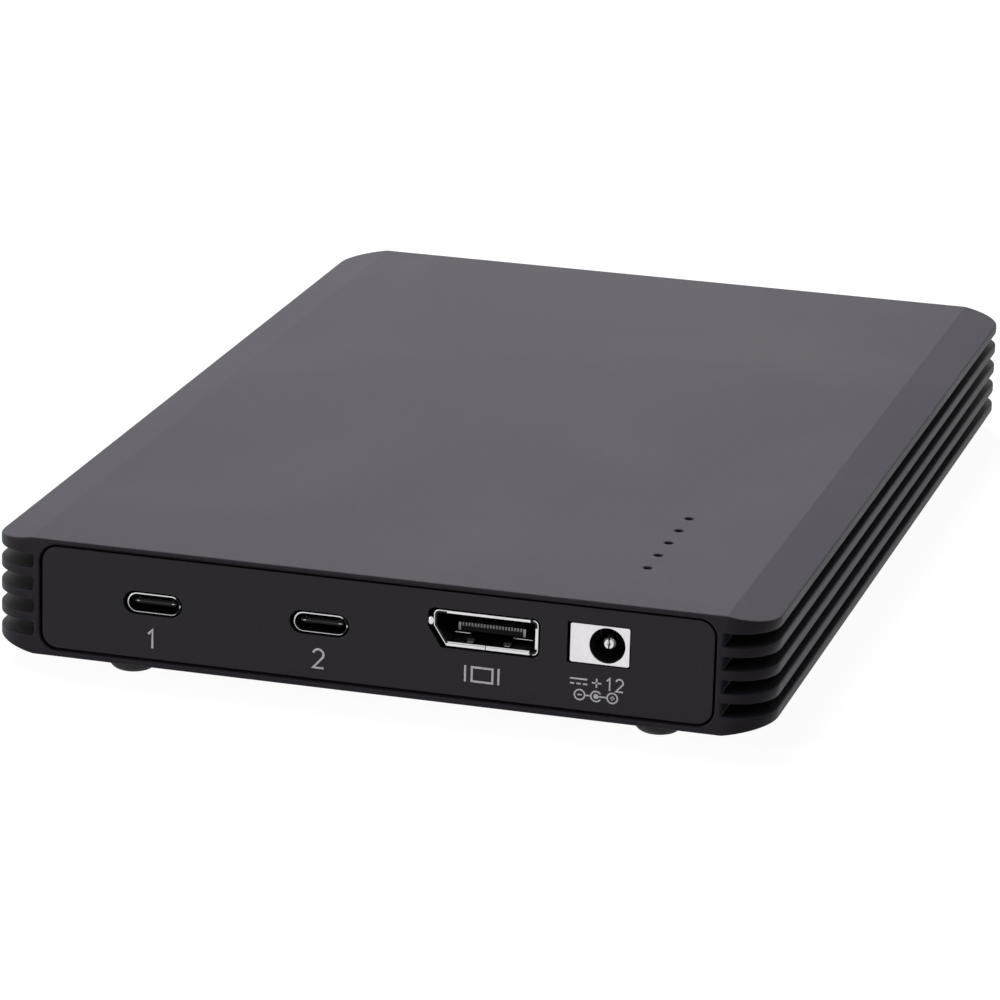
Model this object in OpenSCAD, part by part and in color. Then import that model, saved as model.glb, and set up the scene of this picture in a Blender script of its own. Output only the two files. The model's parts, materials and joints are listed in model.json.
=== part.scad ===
// External enclosure for four stick-shaped solid-state drives.
// An extruded aluminium sleeve with finned sides is closed by two inset end panels.
// The main board slides in rails inside the sleeve, and the sockets look out of the front panel.
// X runs across the front, Y runs from the front to the rear, and Z is up.
// The origin is on the ground, under the middle of the box.

/* [Case] */
// Width of the case across its fins
case_w = 129; // [125:1:160]
// Depth of the case from the front face to the rear face
case_d = 196; // [165:1:240]
// Height of the case without its feet
case_h = 19.7; // [19.3:0.1:25]
// Radius of the upright corners, seen from above
corner_r = 7.3; // [3:0.1:12]
// Width of the sloped band along each side of the top
top_slope_w = 7.3; // [4:0.1:12]
// Drop of the sloped band at the top's outer edge
top_slope_drop = 1.25; // [0.5:0.05:1.6]
// Width of the sloped band along each side of the underside
base_slope_w = 7.5; // [4:0.1:12]
// Rise of the sloped band at the underside's outer edge
base_slope_rise = 1.55; // [0.5:0.05:2]
// Thickness of the roof of the sleeve
roof_t = 1.6; // [1.4:0.1:1.9]
// Thickness of the floor of the sleeve
floor_t = 1.6; // [1.4:0.1:2]

/* [Fins] */
// Number of grooves on each long side
groove_count = 4; // [2:1:5]
// Height of each fin at the outer edge
fin_h = 1.66; // [1:0.02:2.2]
// Depth of the grooves from the side face
groove_depth = 7.7; // [3:0.1:9.2]
// Wall left between the grooves and the cavity
side_wall = 2.2; // [1.8:0.1:3]

/* [Rails and screw channels] */
// Thickness of each rail that holds an edge of the board
rail_t = 1.1; // [0.8:0.1:1.2]
// Reach of each rail from the cavity's side wall
rail_w = 2; // [1.5:0.1:3]
// Distance from the cavity's side wall to a screw channel
channel_inset = 4.1; // [3.6:0.1:5]
// Distance from the cavity's floor or ceiling to a screw channel
channel_rise = 2.8; // [2.6:0.1:2.8]
// Outer radius of the material round a screw channel
channel_r = 2.4; // [2:0.1:2.4]
// Bore that the screws cut their thread in
channel_bore_d = 2.2; // [2:0.1:2.4]

/* [Panels] */
// Thickness of both end panels
panel_t = 2.5; // [2:0.1:3]
// Depth of the panel's face behind the rim of the case
panel_recess = 0.3; // [0.1:0.05:1]
// Rim of the case above the panel
rim_top = 0.87; // [0.7:0.01:1.2]
// Rim of the case under the panel
rim_bottom = 1; // [0.7:0.05:1.2]
// Rim of the case between the panel and the bottom of the grooves
rim_side = 1; // [0.8:0.05:1.6]
// Corner radius of the pocket that a panel sits in
pocket_r = 3; // [2:0.1:4]
// Gap all round a panel
panel_gap = 0.35; // [0.15:0.05:0.5]

/* [Rear screws] */
// Head diameter of the countersunk rear screws
screw_head_d = 4.7; // [4:0.1:5]
// Length of the rear screws with the head
screw_len = 9; // [6:0.5:12]
// Depth of the head under the face of the panel
screw_sink = 0.1; // [0.05:0.05:0.3]
// Width across the corners of the six-sided recess in the head
screw_key_d = 1.8; // [1.4:0.1:2]
// Depth of the recess in the head
screw_key_depth = 0.9; // [0.6:0.1:1.1]

/* [Feet] */
// Diameter of each rubber foot
foot_d = 8; // [6:0.5:10]
// Height of each rubber foot
foot_h = 2.5; // [1.5:0.1:4]
// Radius of the foot's round lower edge
foot_round = 1.8; // [0.5:0.1:2.2]
// Distance from the front or rear face to the centre of a foot
foot_inset_y = 6.5; // [6:0.5:20]
// Distance from the left side face to the centres of the left feet
foot_inset_left = 22.5; // [16:0.5:30]
// Distance from the right side face to the centres of the right feet
foot_inset_right = 19; // [16:0.5:30]

/* [Main board] */
// Height of the board's upper face above the underside of the case
board_z = 9; // [8.8:0.1:10.8]
// Thickness of the board
board_t = 1.6; // [1.2:0.2:1.6]
// Gap between each end of the board and the panel there
board_end_gap = 0.3; // [0.1:0.05:0.8]
// Gap between each long edge of the board and the wall
board_side_gap = 0.25; // [0.1:0.05:0.5]
// Gap between the board and each rail
rail_gap = 0.1; // [0.05:0.01:0.2]

/* [Data sockets] */
// Distances of the two data sockets from the middle of the case, to the left
data_socket_at = [36.55, 8.65];
// Outer width of a data socket's shell
data_w = 8.94; // [8.5:0.02:9.4]
// Outer height of a data socket's shell
data_h = 3.26; // [3.1:0.02:3.5]
// Wall of a data socket's shell
data_wall = 0.24; // [0.2:0.02:0.34]
// Length of a data socket's shell
data_len = 7.35; // [6.5:0.05:9]
// Width of the tongue in a data socket
tongue_w = 6.69; // [6:0.01:7]
// Thickness of the tongue in a data socket
tongue_t = 0.7; // [0.5:0.05:0.8]
// Distance from the shell's front edge to the tongue
tongue_back = 0.9; // [0.5:0.05:1.5]
// Thickness of the plug of plastic that closes a socket's rear
tongue_root = 2.1; // [1.5:0.1:3]

/* [Video socket] */
// Distance of the video socket from the middle of the case, to the right
video_at = 18.5; // [16:0.1:19]
// Outer width of the video socket's shell
video_w = 17.1; // [16.5:0.1:17.4]
// Outer height of the video socket's shell
video_h = 5.85; // [5.4:0.05:6]
// Height of the video socket's shell above the board
video_lift = 0.4; // [0.2:0.1:0.5]
// Wall of the video socket's shell
video_wall = 0.5; // [0.3:0.05:0.6]
// Length of the video socket's shell
video_len = 11; // [9:0.5:14]
// Radius of the shell's round corners
video_r = 0.9; // [0.6:0.05:1.2]
// Width of the cut corner of the shell
video_cut_w = 2.1; // [1.5:0.1:2.6]
// Height of the cut corner of the shell
video_cut_h = 3.2; // [2:0.1:3.6]
// Width of the blade that carries the contacts
blade_w = 11; // [10.4:0.1:12]
// Thickness of the blade
blade_t = 1.3; // [1.1:0.05:1.6]
// Distance of the blade's middle below the middle of the socket
blade_drop = 0.7; // [0.4:0.05:0.8]
// Distance from the shell's front edge to the blade
blade_back = 3.8; // [2:0.1:4.5]
// Number of contacts on each face of the blade
blade_contacts = 20; // [10:1:20]

/* [Power jack] */
// Distance of the power jack from the middle of the case, to the right
jack_at = 37.05; // [36:0.05:38]
// Width of the jack's face
jack_w = 9.6; // [9:0.1:10]
// Height of the jack's face
jack_h = 6.4; // [6.2:0.1:6.6]
// Height of the jack's face above the board
jack_lift = 0.3; // [0.2:0.1:0.5]
// Length of the jack
jack_len = 14; // [12:0.5:15]
// Distance of the bore from the middle of the jack
jack_bore_shift = 1.2; // [0:0.1:1.3]
// Bore for the power plug
jack_bore_d = 5.8; // [5.5:0.1:5.9]
// Depth of the bore
jack_bore_depth = 9.5; // [9:0.1:10]
// Diameter of the centre pin
jack_pin_d = 2.1; // [2:0.1:2.5]
// Thickness of the bright plate on the jack's face
jack_plate_t = 0.3; // [0.2:0.05:0.5]
// Radius of the plate's corners
jack_plate_r = 0.35; // [0.1:0.05:0.5]

/* [Lamps] */
// Number of pinhole lamps
lamp_count = 5; // [3:1:5]
// Distance of the row of lamps from the middle of the case
lamp_at = 39.7; // [38:0.1:43]
// Distance from the front face to the first lamp
lamp_first = 19.4; // [18:0.1:22]
// Distance from one lamp to the next
lamp_pitch = 6.9; // [5:0.1:7]
// Diameter of the holes in the roof
lamp_hole_d = 1.4; // [1:0.1:1.6]
// Depth of the light guide's pins under the roof's surface
lamp_sink = 0.9; // [0.1:0.1:1]

/* [Drives] */
// Width of a stick drive
drive_w = 22; // [20:0.5:22]
// Length of a stick drive
drive_len = 80; // [60:1:80]
// Thickness of a stick drive's board
drive_t = 0.8; // [0.6:0.1:1]
// Height of the drives above the main board
drive_lift = 2.45; // [2:0.05:3]
// Height of the chips on a drive
drive_chip_h = 1.3; // [1:0.1:1.5]
// Distance from the main board's rear edge to the drives' rear ends
drive_rear_gap = 8; // [6:0.5:10]
// Length of the drive's edge that enters its socket
drive_tab = 4; // [3:0.5:5]
// Height of the drive sockets
drive_socket_h = 4; // [3.6:0.1:4.4]
// Length of the drive sockets
drive_socket_len = 9; // [8:0.5:10]
// Diameter of the standoffs under the drives' rear ends
standoff_d = 4.4; // [4:0.1:5]
// Bore of the standoffs
standoff_bore_d = 1.7; // [1.5:0.05:1.8]

/* [Cooling] */
// Thickness of the pads on the drives
pad_t = 1; // [0.5:0.1:1]
// Thickness of the pads under the roof
roof_pad_t = 0.5; // [0.3:0.1:1]
// Gap from the heat spreader to the screw channels
spreader_gap = 0.85; // [0.5:0.05:2]
// Size of the controller chip
controller_s = 10.7; // [8:0.1:14]
// Size of the metal block on the controller chip
controller_block_s = 24; // [18:1:26]
// Distance from the front face to the middle of the controller chip
controller_back = 38; // [34:1:40]
// Distance of the controller chip from the middle of the case, to the left
controller_at = 14; // [10:1:20]

/* [Fit] */
// Clearance between the panel's cut-outs and the socket shells
socket_gap = 0.3; // [0.15:0.05:0.4]
// Clearance between the panel's cut-out and the power jack
jack_gap = 0.15; // [0.1:0.05:0.25]
// Extra clearance at the left of the data sockets and the power jack
left_gap = 0.3; // [0:0.05:0.4]
// Extra clearance at the left of the video socket, where its shell has a stop
video_left_gap = 0.55; // [0.5:0.05:0.7]
// Depth of the sockets' front edges behind the face of the panel
socket_recess = 0.3; // [0:0.05:0.6]
// Depth of the jack's face behind the face of the panel
jack_recess = 0.1; // [0:0.05:0.5]
// Clearance round plastic pieces pushed into metal ones
push_gap = 0.05; // [0.02:0.01:0.1]
// Clearance round screw heads and across screw shanks
screw_gap = 0.1; // [0.05:0.05:0.2]

/* [Hidden] */
// Round edges smooth enough to count as true arcs
$fn = 48;
// Extra length of a cut that runs out of a face
over = 1;

// Levels inside the case, measured from its underside
ceiling_z = case_h - roof_t;
cavity_h = ceiling_z - floor_t;
cavity_w = case_w - 2 * (groove_depth + side_wall);
side_h = case_h - top_slope_drop - base_slope_rise;
groove_h = (side_h - (groove_count + 1) * fin_h) / groove_count;
channel_x = cavity_w / 2 - channel_inset;
channel_zs = [floor_t + channel_rise, ceiling_z - channel_rise];
screw_shank_d = channel_bore_d - screw_gap;

// Faces along the depth of the case
front_y = -case_d / 2;
rear_y = case_d / 2;
pocket_depth = panel_recess + panel_t;
pocket_w = case_w - 2 * (groove_depth + rim_side);
pocket_h = case_h - rim_top - rim_bottom;
pocket_z = rim_bottom + pocket_h / 2;
board_front_y = front_y + pocket_depth + board_end_gap;
board_rear_y = -board_front_y;
board_w = cavity_w - 2 * board_side_gap;

// Places of the sockets
socket_y = front_y + panel_recess + socket_recess;
data_z = board_z + data_h / 2;
video_z = board_z + video_lift + video_h / 2;
jack_y = front_y + panel_recess + jack_recess;
jack_z = board_z + jack_lift + jack_h / 2;
jack_bore_x = jack_at + jack_bore_shift;

// Places of the drives, which fill the bay between the screw channels
drive_count = 4;
drive_edge_gap = 0.35;
drive_key_at = 6.1;
drive_key_w = 1.2;
drive_key_len = 2.4;
bay_w = 2 * (channel_x - channel_r - drive_edge_gap);
drive_pitch = (bay_w - drive_w) / (drive_count - 1);
drive_rear_y = board_rear_y - drive_rear_gap;
drive_front_y = drive_rear_y - drive_len;
drive_z = board_z + drive_lift;
drive_top_z = drive_z + drive_t;
drive_pad_z = drive_top_z + drive_chip_h;
spreader_z = drive_pad_z + pad_t;
spreader_top_z = ceiling_z - roof_pad_t;

// The heat spreader lies between the drive sockets and the drive screws
spreader_from_y = drive_front_y + drive_tab + 1.5;
spreader_len = drive_rear_y - 5 - spreader_from_y;
spreader_w = 2 * (channel_x - channel_r - spreader_gap);

// Centres of the feet
left_foot_x = foot_inset_left - case_w / 2;
right_foot_x = case_w / 2 - foot_inset_right;
front_foot_y = front_y + foot_inset_y;
rear_foot_y = rear_y - foot_inset_y;

// Fixed sizes of small electronic parts
lamp_size = [1.6, 0.8, 0.6];
lamp_air = 0.2;
shield_t = 0.14;
shield_depth = 0.4;
video_root = 2.6;
spring_at = 3;
spring_w = 1.3;
spring_back = 1.9;
spring_len = 6;
guide_bar = [3, 1.2];
guide_leg_d = 1.6;
jack_pin_seat = 1;
contact_t = 0.06;
controller_h = 1.2;
coil_s = 7;
coil_h = 4.2;
coil_corner_r = 1.1;
coil_lead = [0.6, 3, 0.8];
capacitor_d = 6.3;
capacitor_h = 5.8;
capacitor_base_h = 0.8;

// Lifts a piece from the case's own level onto the feet
module on_feet() {
    translate([0, 0, foot_h]) children();
}

// Extrudes an outline in X and Z from one depth to another
module along_y(from_y, to_y) {
    translate([0, to_y, 0]) rotate([90, 0, 0]) linear_extrude(to_y - from_y) children();
}

// Rectangle with round corners, centred
module round_rect(w, h, r) {
    square([w - 2 * r, h], center = true);
    square([w, h - 2 * r], center = true);
    for (x = [-1, 1], y = [-1, 1]) {
        translate([x * (w / 2 - r), y * (h / 2 - r)]) circle(r);
    }
}

// Slot outline with two round ends, centred
module stadium(w, h) {
    square([w - h, h], center = true);
    for (x = [-1, 1]) {
        translate([x * (w - h) / 2, 0]) circle(h / 2);
    }
}

// Outline of the sleeve, with a sloped band at each long edge
module case_outline() {
    hw = case_w / 2;
    polygon([
        [-hw + base_slope_w, 0], [hw - base_slope_w, 0], [hw, base_slope_rise],
        [hw, case_h - top_slope_drop], [hw - top_slope_w, case_h], [-hw + top_slope_w, case_h],
        [-hw, case_h - top_slope_drop], [-hw, base_slope_rise]
    ]);
}

// Corner block with a round nose that holds one screw channel
module channel_block(side, level) {
    mirror([side < 0 ? 1 : 0, 0]) translate([channel_x, channel_zs[level]]) {
        circle(channel_r);
        mirror([0, level == 0 ? 1 : 0]) {
            translate([0, -channel_r]) square([channel_inset + over, channel_r + channel_rise + over]);
            translate([-channel_r, 0]) square([channel_r + channel_inset, channel_rise + over]);
        }
    }
}

// Pair of ribs that hold one long edge of the board
module rails(side) {
    slot_low = board_z - board_t - rail_gap;
    slot_high = board_z + rail_gap;
    mirror([side < 0 ? 1 : 0, 0]) {
        for (z = [slot_low - rail_t, slot_high]) {
            translate([cavity_w / 2 - rail_w, z]) square([rail_w + over, rail_t]);
        }
    }
}

// Inside outline of the sleeve, left free of rails and channel blocks
module cavity_outline() {
    difference() {
        translate([-cavity_w / 2, floor_t]) square([cavity_w, cavity_h]);
        for (side = [-1, 1]) {
            rails(side);
            for (level = [0, 1]) {
                channel_block(side, level);
            }
        }
    }
}

// Grooves of one long side, which run out at both ends
module side_grooves(side) {
    mirror([side < 0 ? 1 : 0, 0, 0]) {
        for (i = [0 : groove_count - 1]) {
            z = base_slope_rise + fin_h + i * (groove_h + fin_h);
            translate([case_w / 2 - groove_depth, front_y - over, z])
                cube([groove_depth + over, case_d + 2 * over, groove_h]);
        }
    }
}

// Positions along the row of lamps
module at_lamps() {
    for (i = [0 : lamp_count - 1]) {
        translate([lamp_at, front_y + lamp_first + i * lamp_pitch, 0]) children();
    }
}

// Positions of the four rear screws on the rear face, pointing forward
module at_rear_screws() {
    for (side = [-1, 1], z = channel_zs) {
        translate([side * channel_x, rear_y - panel_recess, z]) rotate([90, 0, 0]) children();
    }
}

module case_shell() {
    color([0.4, 0.39, 0.42]) on_feet() difference() {
        intersection() {
            along_y(front_y, rear_y) case_outline();
            linear_extrude(case_h) round_rect(case_w, case_d, corner_r);
        }
        for (side = [-1, 1]) {
            side_grooves(side);
        }
        along_y(front_y - over, rear_y + over) cavity_outline();
        for (span = [[front_y - over, front_y + pocket_depth], [rear_y - pocket_depth, rear_y + over]]) {
            along_y(span[0], span[1]) translate([0, pocket_z]) round_rect(pocket_w, pocket_h, pocket_r);
        }
        for (side = [-1, 1], z = channel_zs) {
            translate([side * channel_x, rear_y + over, z]) rotate([90, 0, 0])
                cylinder(d = channel_bore_d, h = case_d + 2 * over);
        }
        at_lamps() translate([0, 0, ceiling_z - over]) cylinder(d = lamp_hole_d, h = roof_t + 2 * over);
    }
}

// Plate that fills a pocket with a gap all round
module panel_plate(from_y) {
    along_y(from_y, from_y + panel_t) translate([0, pocket_z])
        round_rect(pocket_w - 2 * panel_gap, pocket_h - 2 * panel_gap, pocket_r - panel_gap);
}

// Outline of the video socket, with one cut corner, grown or shrunk all round
module video_outline(grow) {
    cut_len = norm([video_cut_w, video_cut_h]);
    difference() {
        round_rect(video_w + 2 * grow, video_h + 2 * grow, video_r + grow);
        translate([-video_w / 2, video_cut_h - video_h / 2]) rotate(-atan2(video_cut_h, video_cut_w))
            translate([-cut_len, -cut_len - grow]) square([3 * cut_len, cut_len]);
    }
}

module front_panel() {
    from_y = front_y + panel_recess;
    color([0.17, 0.16, 0.18]) on_feet() difference() {
        panel_plate(from_y);
        along_y(from_y - over, from_y + panel_t + over) {
            for (x = data_socket_at, shift = [0, left_gap]) {
                translate([-x - shift, data_z]) stadium(data_w + 2 * socket_gap, data_h + 2 * socket_gap);
            }
            for (shift = [0, video_left_gap]) {
                translate([video_at - shift, video_z]) video_outline(socket_gap);
            }
            for (shift = [0, left_gap]) {
                translate([jack_at - shift, jack_z])
                    square([jack_w + 2 * jack_gap, jack_h + 2 * jack_gap], center = true);
            }
        }
    }
}

// Countersunk head and shank, from the face of the panel inward, grown by a gap
module screw_body(gap, length) {
    head_r = screw_head_d / 2 + gap;
    shank_r = screw_shank_d / 2 + gap;
    cylinder(r1 = head_r, r2 = shank_r, h = head_r - shank_r);
    cylinder(r = shank_r, h = length);
}

module rear_panel() {
    color([0.17, 0.16, 0.18]) on_feet() difference() {
        panel_plate(rear_y - pocket_depth);
        at_rear_screws() {
            translate([0, 0, screw_sink - screw_gap / 2]) screw_body(screw_gap, panel_t + over);
            translate([0, 0, -over]) cylinder(r = screw_head_d / 2 + screw_gap, h = over + screw_sink);
        }
    }
}

module rear_panel_screws() {
    color([0.12, 0.12, 0.13]) on_feet() at_rear_screws() translate([0, 0, screw_sink]) difference() {
        screw_body(0, screw_len);
        translate([0, 0, -over]) cylinder(d = screw_key_d, h = over + screw_key_depth, $fn = 6);
    }
}

// Domed rubber foot stuck to the underside at one corner
module foot(x, y) {
    r = foot_d / 2;
    color([0.08, 0.08, 0.09]) translate([x, y, 0]) rotate_extrude() {
        translate([0, foot_round]) square([r, foot_h - foot_round]);
        square([r - foot_round, foot_h]);
        intersection() {
            translate([r - foot_round, foot_round]) circle(foot_round);
            square([r, foot_h]);
        }
    }
}

module main_board() {
    color([0.05, 0.2, 0.12]) on_feet() translate([-board_w / 2, board_front_y, board_z - board_t])
        cube([board_w, board_rear_y - board_front_y, board_t]);
}

// Drawn shell of a data socket with its two solder tabs
module data_socket_shell(x) {
    tab_w = 2.6;
    tab_len = 2;
    color([0.8, 0.8, 0.82]) on_feet() translate([-x, 0, 0]) {
        along_y(socket_y, socket_y + data_len) translate([0, data_z]) difference() {
            stadium(data_w, data_h);
            stadium(data_w - 2 * data_wall, data_h - 2 * data_wall);
        }
        for (side = [-1, 1]) {
            tab_x = side * ((data_w - data_h + tab_w) / 2 - data_wall);
            translate([tab_x, board_front_y + tab_len, board_z + data_wall / 2])
                cube([tab_w, tab_len, data_wall], center = true);
        }
    }
}

// Plastic rear plug of a data socket with its tongue
module data_socket_tongue(x) {
    root_y = socket_y + data_len - tongue_root;
    inner_w = data_w - 2 * data_wall;
    inner_h = data_h - 2 * data_wall;
    color([0.05, 0.05, 0.06]) on_feet() translate([-x, 0, data_z]) {
        along_y(root_y, socket_y + data_len) stadium(inner_w - 2 * push_gap, inner_h - 2 * push_gap);
        difference() {
            translate([-tongue_w / 2, socket_y + tongue_back, -tongue_t / 2])
                cube([tongue_w, root_y - socket_y - tongue_back + over, tongue_t]);
            translate([-tongue_w / 2 - over, socket_y + tongue_back - over, -shield_t / 2])
                cube([tongue_w + 2 * over, over + shield_depth, shield_t]);
        }
    }
}

// Contact strips above and under each data tongue, its front shield and the latch strip at each side
module data_socket_contacts() {
    strips = 12;
    pitch = 0.5;
    strip_w = 0.26;
    latch_w = 0.14;
    latch_t = 0.24;
    from_y = socket_y + tongue_back;
    strip_len = data_len - tongue_root - tongue_back;
    color([0.75, 0.74, 0.72]) on_feet() for (x = data_socket_at) translate([-x, from_y, data_z]) {
        for (i = [0 : strips - 1], side = [-1, 1]) {
            strip_x = (i - (strips - 1) / 2) * pitch;
            translate([strip_x, strip_len / 2 + tongue_t / 4, side * (tongue_t + contact_t) / 2])
                cube([strip_w, strip_len - tongue_t / 2, contact_t], center = true);
        }
        for (side = [-1, 1]) {
            translate([side * (tongue_w + latch_w) / 2, strip_len / 2, 0])
                cube([latch_w, strip_len, latch_t], center = true);
        }
        translate([-tongue_w / 2 - latch_w, 0, -shield_t / 2])
            cube([tongue_w + 2 * latch_w, shield_depth, shield_t]);
    }
}

// Spring cut out of the video socket's floor, rising to a hooked tip that grips the plug
module floor_spring(x) {
    t = video_wall / 2;
    rise = 0.45;
    crest = 0.7;
    hook = 0.3;
    hook_drop = 0.5;
    low = video_z - video_h / 2;
    high = low + video_wall + rise;
    tip = -socket_y - spring_back;
    root = tip - spring_len - over / 2;
    translate([x + spring_w / 2, 0, 0]) rotate([90, 0, -90]) linear_extrude(spring_w) polygon([
        [root, low], [root, low + t], [tip - crest - hook, high], [tip - hook, high],
        [tip, high - hook_drop], [tip, high - hook_drop - t], [tip - hook - t / 2, high - t],
        [tip - crest - hook, high - t]
    ]);
}

// Window in the floor round a spring
module floor_window(x) {
    slot = 0.3;
    w = spring_w + 2 * slot;
    translate([x - w / 2, socket_y + spring_back - slot, video_z - video_h / 2 - over])
        cube([w, spring_len + slot, over + video_wall + over / 2]);
}

// Folded shell of the video socket with a seam and two springs below, a stop and four solder legs
module video_socket_shell() {
    seam = 0.12;
    leg_len = 2;
    leg_reach = 0.9;
    leg_rise = video_lift + video_cut_h + video_wall;
    stop_r = 0.36;
    stop_len = 1.6;
    color([0.8, 0.8, 0.82]) on_feet() translate([video_at, 0, 0]) {
        difference() {
            along_y(socket_y, socket_y + video_len) translate([0, video_z]) difference() {
                video_outline(0);
                video_outline(-video_wall);
                translate([-seam / 2, -video_h]) square([seam, video_h]);
            }
            for (x = [-spring_at, spring_at]) {
                floor_window(x);
            }
        }
        for (x = [-spring_at, spring_at]) {
            floor_spring(x);
        }
        translate([-video_w / 2 - stop_r + video_wall / 4, socket_y + stop_len, video_z + video_h / 6])
            rotate([90, 0, 0]) cylinder(r = stop_r, h = stop_len);
        for (side = [-1, 1], k = [0, 1]) mirror([side < 0 ? 1 : 0, 0, 0]) {
            translate([video_w / 2 - video_wall, board_front_y + leg_len * (0.5 + 2 * k), board_z]) {
                cube([video_wall, leg_len, leg_rise]);
                cube([video_wall + leg_reach, leg_len, video_wall / 2]);
            }
        }
    }
}

// Plastic rear plug of the video socket with its blade
module video_socket_insert() {
    root_y = socket_y + video_len - video_root;
    color([0.05, 0.05, 0.06]) on_feet() translate([video_at, 0, video_z]) {
        along_y(root_y, socket_y + video_len) video_outline(-video_wall - push_gap);
        translate([-blade_w / 2, socket_y + blade_back, -blade_drop - blade_t / 2])
            cube([blade_w, root_y - socket_y - blade_back + over, blade_t]);
    }
}

// Contacts on both faces of the blade, an upright at each end of its front edge, and two ground strips
module video_socket_contacts() {
    margin = 0.5;
    pitch = (blade_w - 2 * margin) / blade_contacts;
    strip_w = pitch * 0.55;
    strip_len = 3.8;
    low_back = 0.6;
    end_w = 0.4;
    ground = [2.4, video_len - video_root - blade_back, 0.22];
    ground_drop = 0.3;
    color([0.75, 0.74, 0.72]) on_feet() translate([video_at, socket_y + blade_back, video_z - blade_drop]) {
        for (i = [0 : blade_contacts - 1]) {
            translate([(i - (blade_contacts - 1) / 2) * pitch - strip_w / 2, 0, 0]) {
                translate([0, 0, blade_t / 2]) cube([strip_w, strip_len, contact_t]);
                translate([0, low_back, -blade_t / 2 - contact_t])
                    cube([strip_w, strip_len - low_back, contact_t]);
            }
        }
        for (side = [0, 1]) mirror([side, 0, 0]) {
            translate([blade_w / 2 - end_w, -contact_t, -blade_t / 2]) cube([end_w, contact_t, blade_t]);
            translate([blade_w / 2 - ground[0] + end_w, 0, -blade_t / 2 - ground_drop - ground[2]])
                cube(ground);
        }
    }
}

// Plastic block of the power jack, with the bore and a slot for the side spring
module power_jack_body() {
    back_y = jack_y + jack_len;
    slot = [1.1, 5.4, 2];
    color([0.06, 0.06, 0.07]) on_feet() difference() {
        union() {
            translate([jack_at - jack_w / 2, jack_y + jack_plate_t, board_z + jack_lift])
                cube([jack_w, jack_len - jack_plate_t, jack_h]);
            translate([jack_at - jack_w / 2, board_front_y, board_z])
                cube([jack_w, back_y - board_front_y, jack_lift + jack_h / 2]);
        }
        translate([jack_bore_x, jack_y + jack_bore_depth, jack_z]) rotate([90, 0, 0])
            cylinder(d = jack_bore_d, h = jack_bore_depth + over);
        translate([jack_bore_x, jack_y + jack_bore_depth + jack_pin_seat, jack_z]) rotate([90, 0, 0])
            cylinder(d = jack_pin_d + push_gap, h = jack_pin_seat + over);
        translate([
            jack_bore_x - jack_bore_d / 2 - slot[0], jack_y + jack_bore_depth - slot[1], jack_z - slot[2] / 2
        ]) cube([slot[0] + jack_bore_d / 2, slot[1], slot[2]]);
    }
}

// Bright plate on the front of the jack
module power_jack_face() {
    color([0.9, 0.89, 0.9]) on_feet() difference() {
        along_y(jack_y, jack_y + jack_plate_t) translate([jack_at, jack_z])
            round_rect(jack_w, jack_h, jack_plate_r);
        translate([jack_bore_x, jack_y + jack_plate_t + over, jack_z]) rotate([90, 0, 0])
            cylinder(d = jack_bore_d, h = jack_plate_t + 2 * over);
    }
}

// Centre pin with a bevelled nose, a slit and a small hole in its end
module power_jack_pin() {
    nose_back = 1;
    bevel = 0.3;
    slit = 0.25;
    slit_len = 5;
    hole_d = 0.6;
    hole_depth = 0.5;
    r = jack_pin_d / 2;
    color([0.85, 0.85, 0.85]) on_feet() translate([jack_bore_x, jack_y + nose_back, jack_z]) difference() {
        rotate([-90, 0, 0]) {
            translate([0, 0, bevel]) cylinder(r = r, h = jack_bore_depth + jack_pin_seat - nose_back - bevel);
            cylinder(r1 = r - bevel, r2 = r, h = bevel);
        }
        translate([-slit / 2, -over, -r - over]) cube([slit, slit_len + over, jack_pin_d + 2 * over]);
        rotate([-90, 0, 0]) translate([0, 0, -over]) cylinder(d = hole_d, h = over + hole_depth);
    }
}

// Leaf spring that presses on the plug's side
module power_jack_spring() {
    leaf = [0.3, 4.8, 1.6];
    tip = 0.35;
    bump_len = 2;
    leaf_x = jack_bore_x - jack_bore_d / 2 - leaf[0];
    color([0.8, 0.75, 0.6]) on_feet()
        translate([leaf_x, jack_y + jack_bore_depth - leaf[1], jack_z - leaf[2] / 2]) {
            cube(leaf);
            translate([0, bump_len, 0]) cube([leaf[0] + tip, bump_len, leaf[2]]);
        }
}

module status_lamps() {
    color([0.95, 0.95, 0.85]) on_feet() at_lamps()
        translate([-lamp_size[0] / 2, -lamp_size[1] / 2, board_z]) cube(lamp_size);
}

// Clear strip under the roof with a pin in each hole and a leg over each lamp
module light_guide() {
    bar_len = (lamp_count - 1) * lamp_pitch + lamp_pitch / 2;
    bar_y = front_y + lamp_first - lamp_pitch / 4;
    leg_z = board_z + lamp_size[2] + lamp_air;
    color([0.75, 0.78, 0.8]) on_feet() {
        translate([lamp_at - guide_bar[0] / 2, bar_y, ceiling_z - guide_bar[1]])
            cube([guide_bar[0], bar_len, guide_bar[1]]);
        at_lamps() {
            translate([0, 0, ceiling_z - over / 2])
                cylinder(d = lamp_hole_d - 2 * push_gap, h = roof_t - lamp_sink + over / 2);
            translate([0, 0, leg_z]) cylinder(d = guide_leg_d, h = ceiling_z - guide_bar[1] / 2 - leg_z);
        }
    }
}

// Block centred on a place over the board, standing at a level
module over_board(x, back, z, size) {
    translate([x - size[0] / 2, front_y + back - size[1] / 2, z]) cube(size);
}

module controller_chip() {
    color([0.12, 0.12, 0.13]) on_feet()
        over_board(-controller_at, controller_back, board_z, [controller_s, controller_s, controller_h]);
}

module controller_pads() {
    chip_pad = [controller_s, controller_s, roof_pad_t];
    roof_pad = [controller_block_s, controller_block_s, roof_pad_t];
    color([0.7, 0.72, 0.75]) on_feet() {
        over_board(-controller_at, controller_back, board_z + controller_h, chip_pad);
        over_board(-controller_at, controller_back, ceiling_z - roof_pad_t, roof_pad);
    }
}

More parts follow.
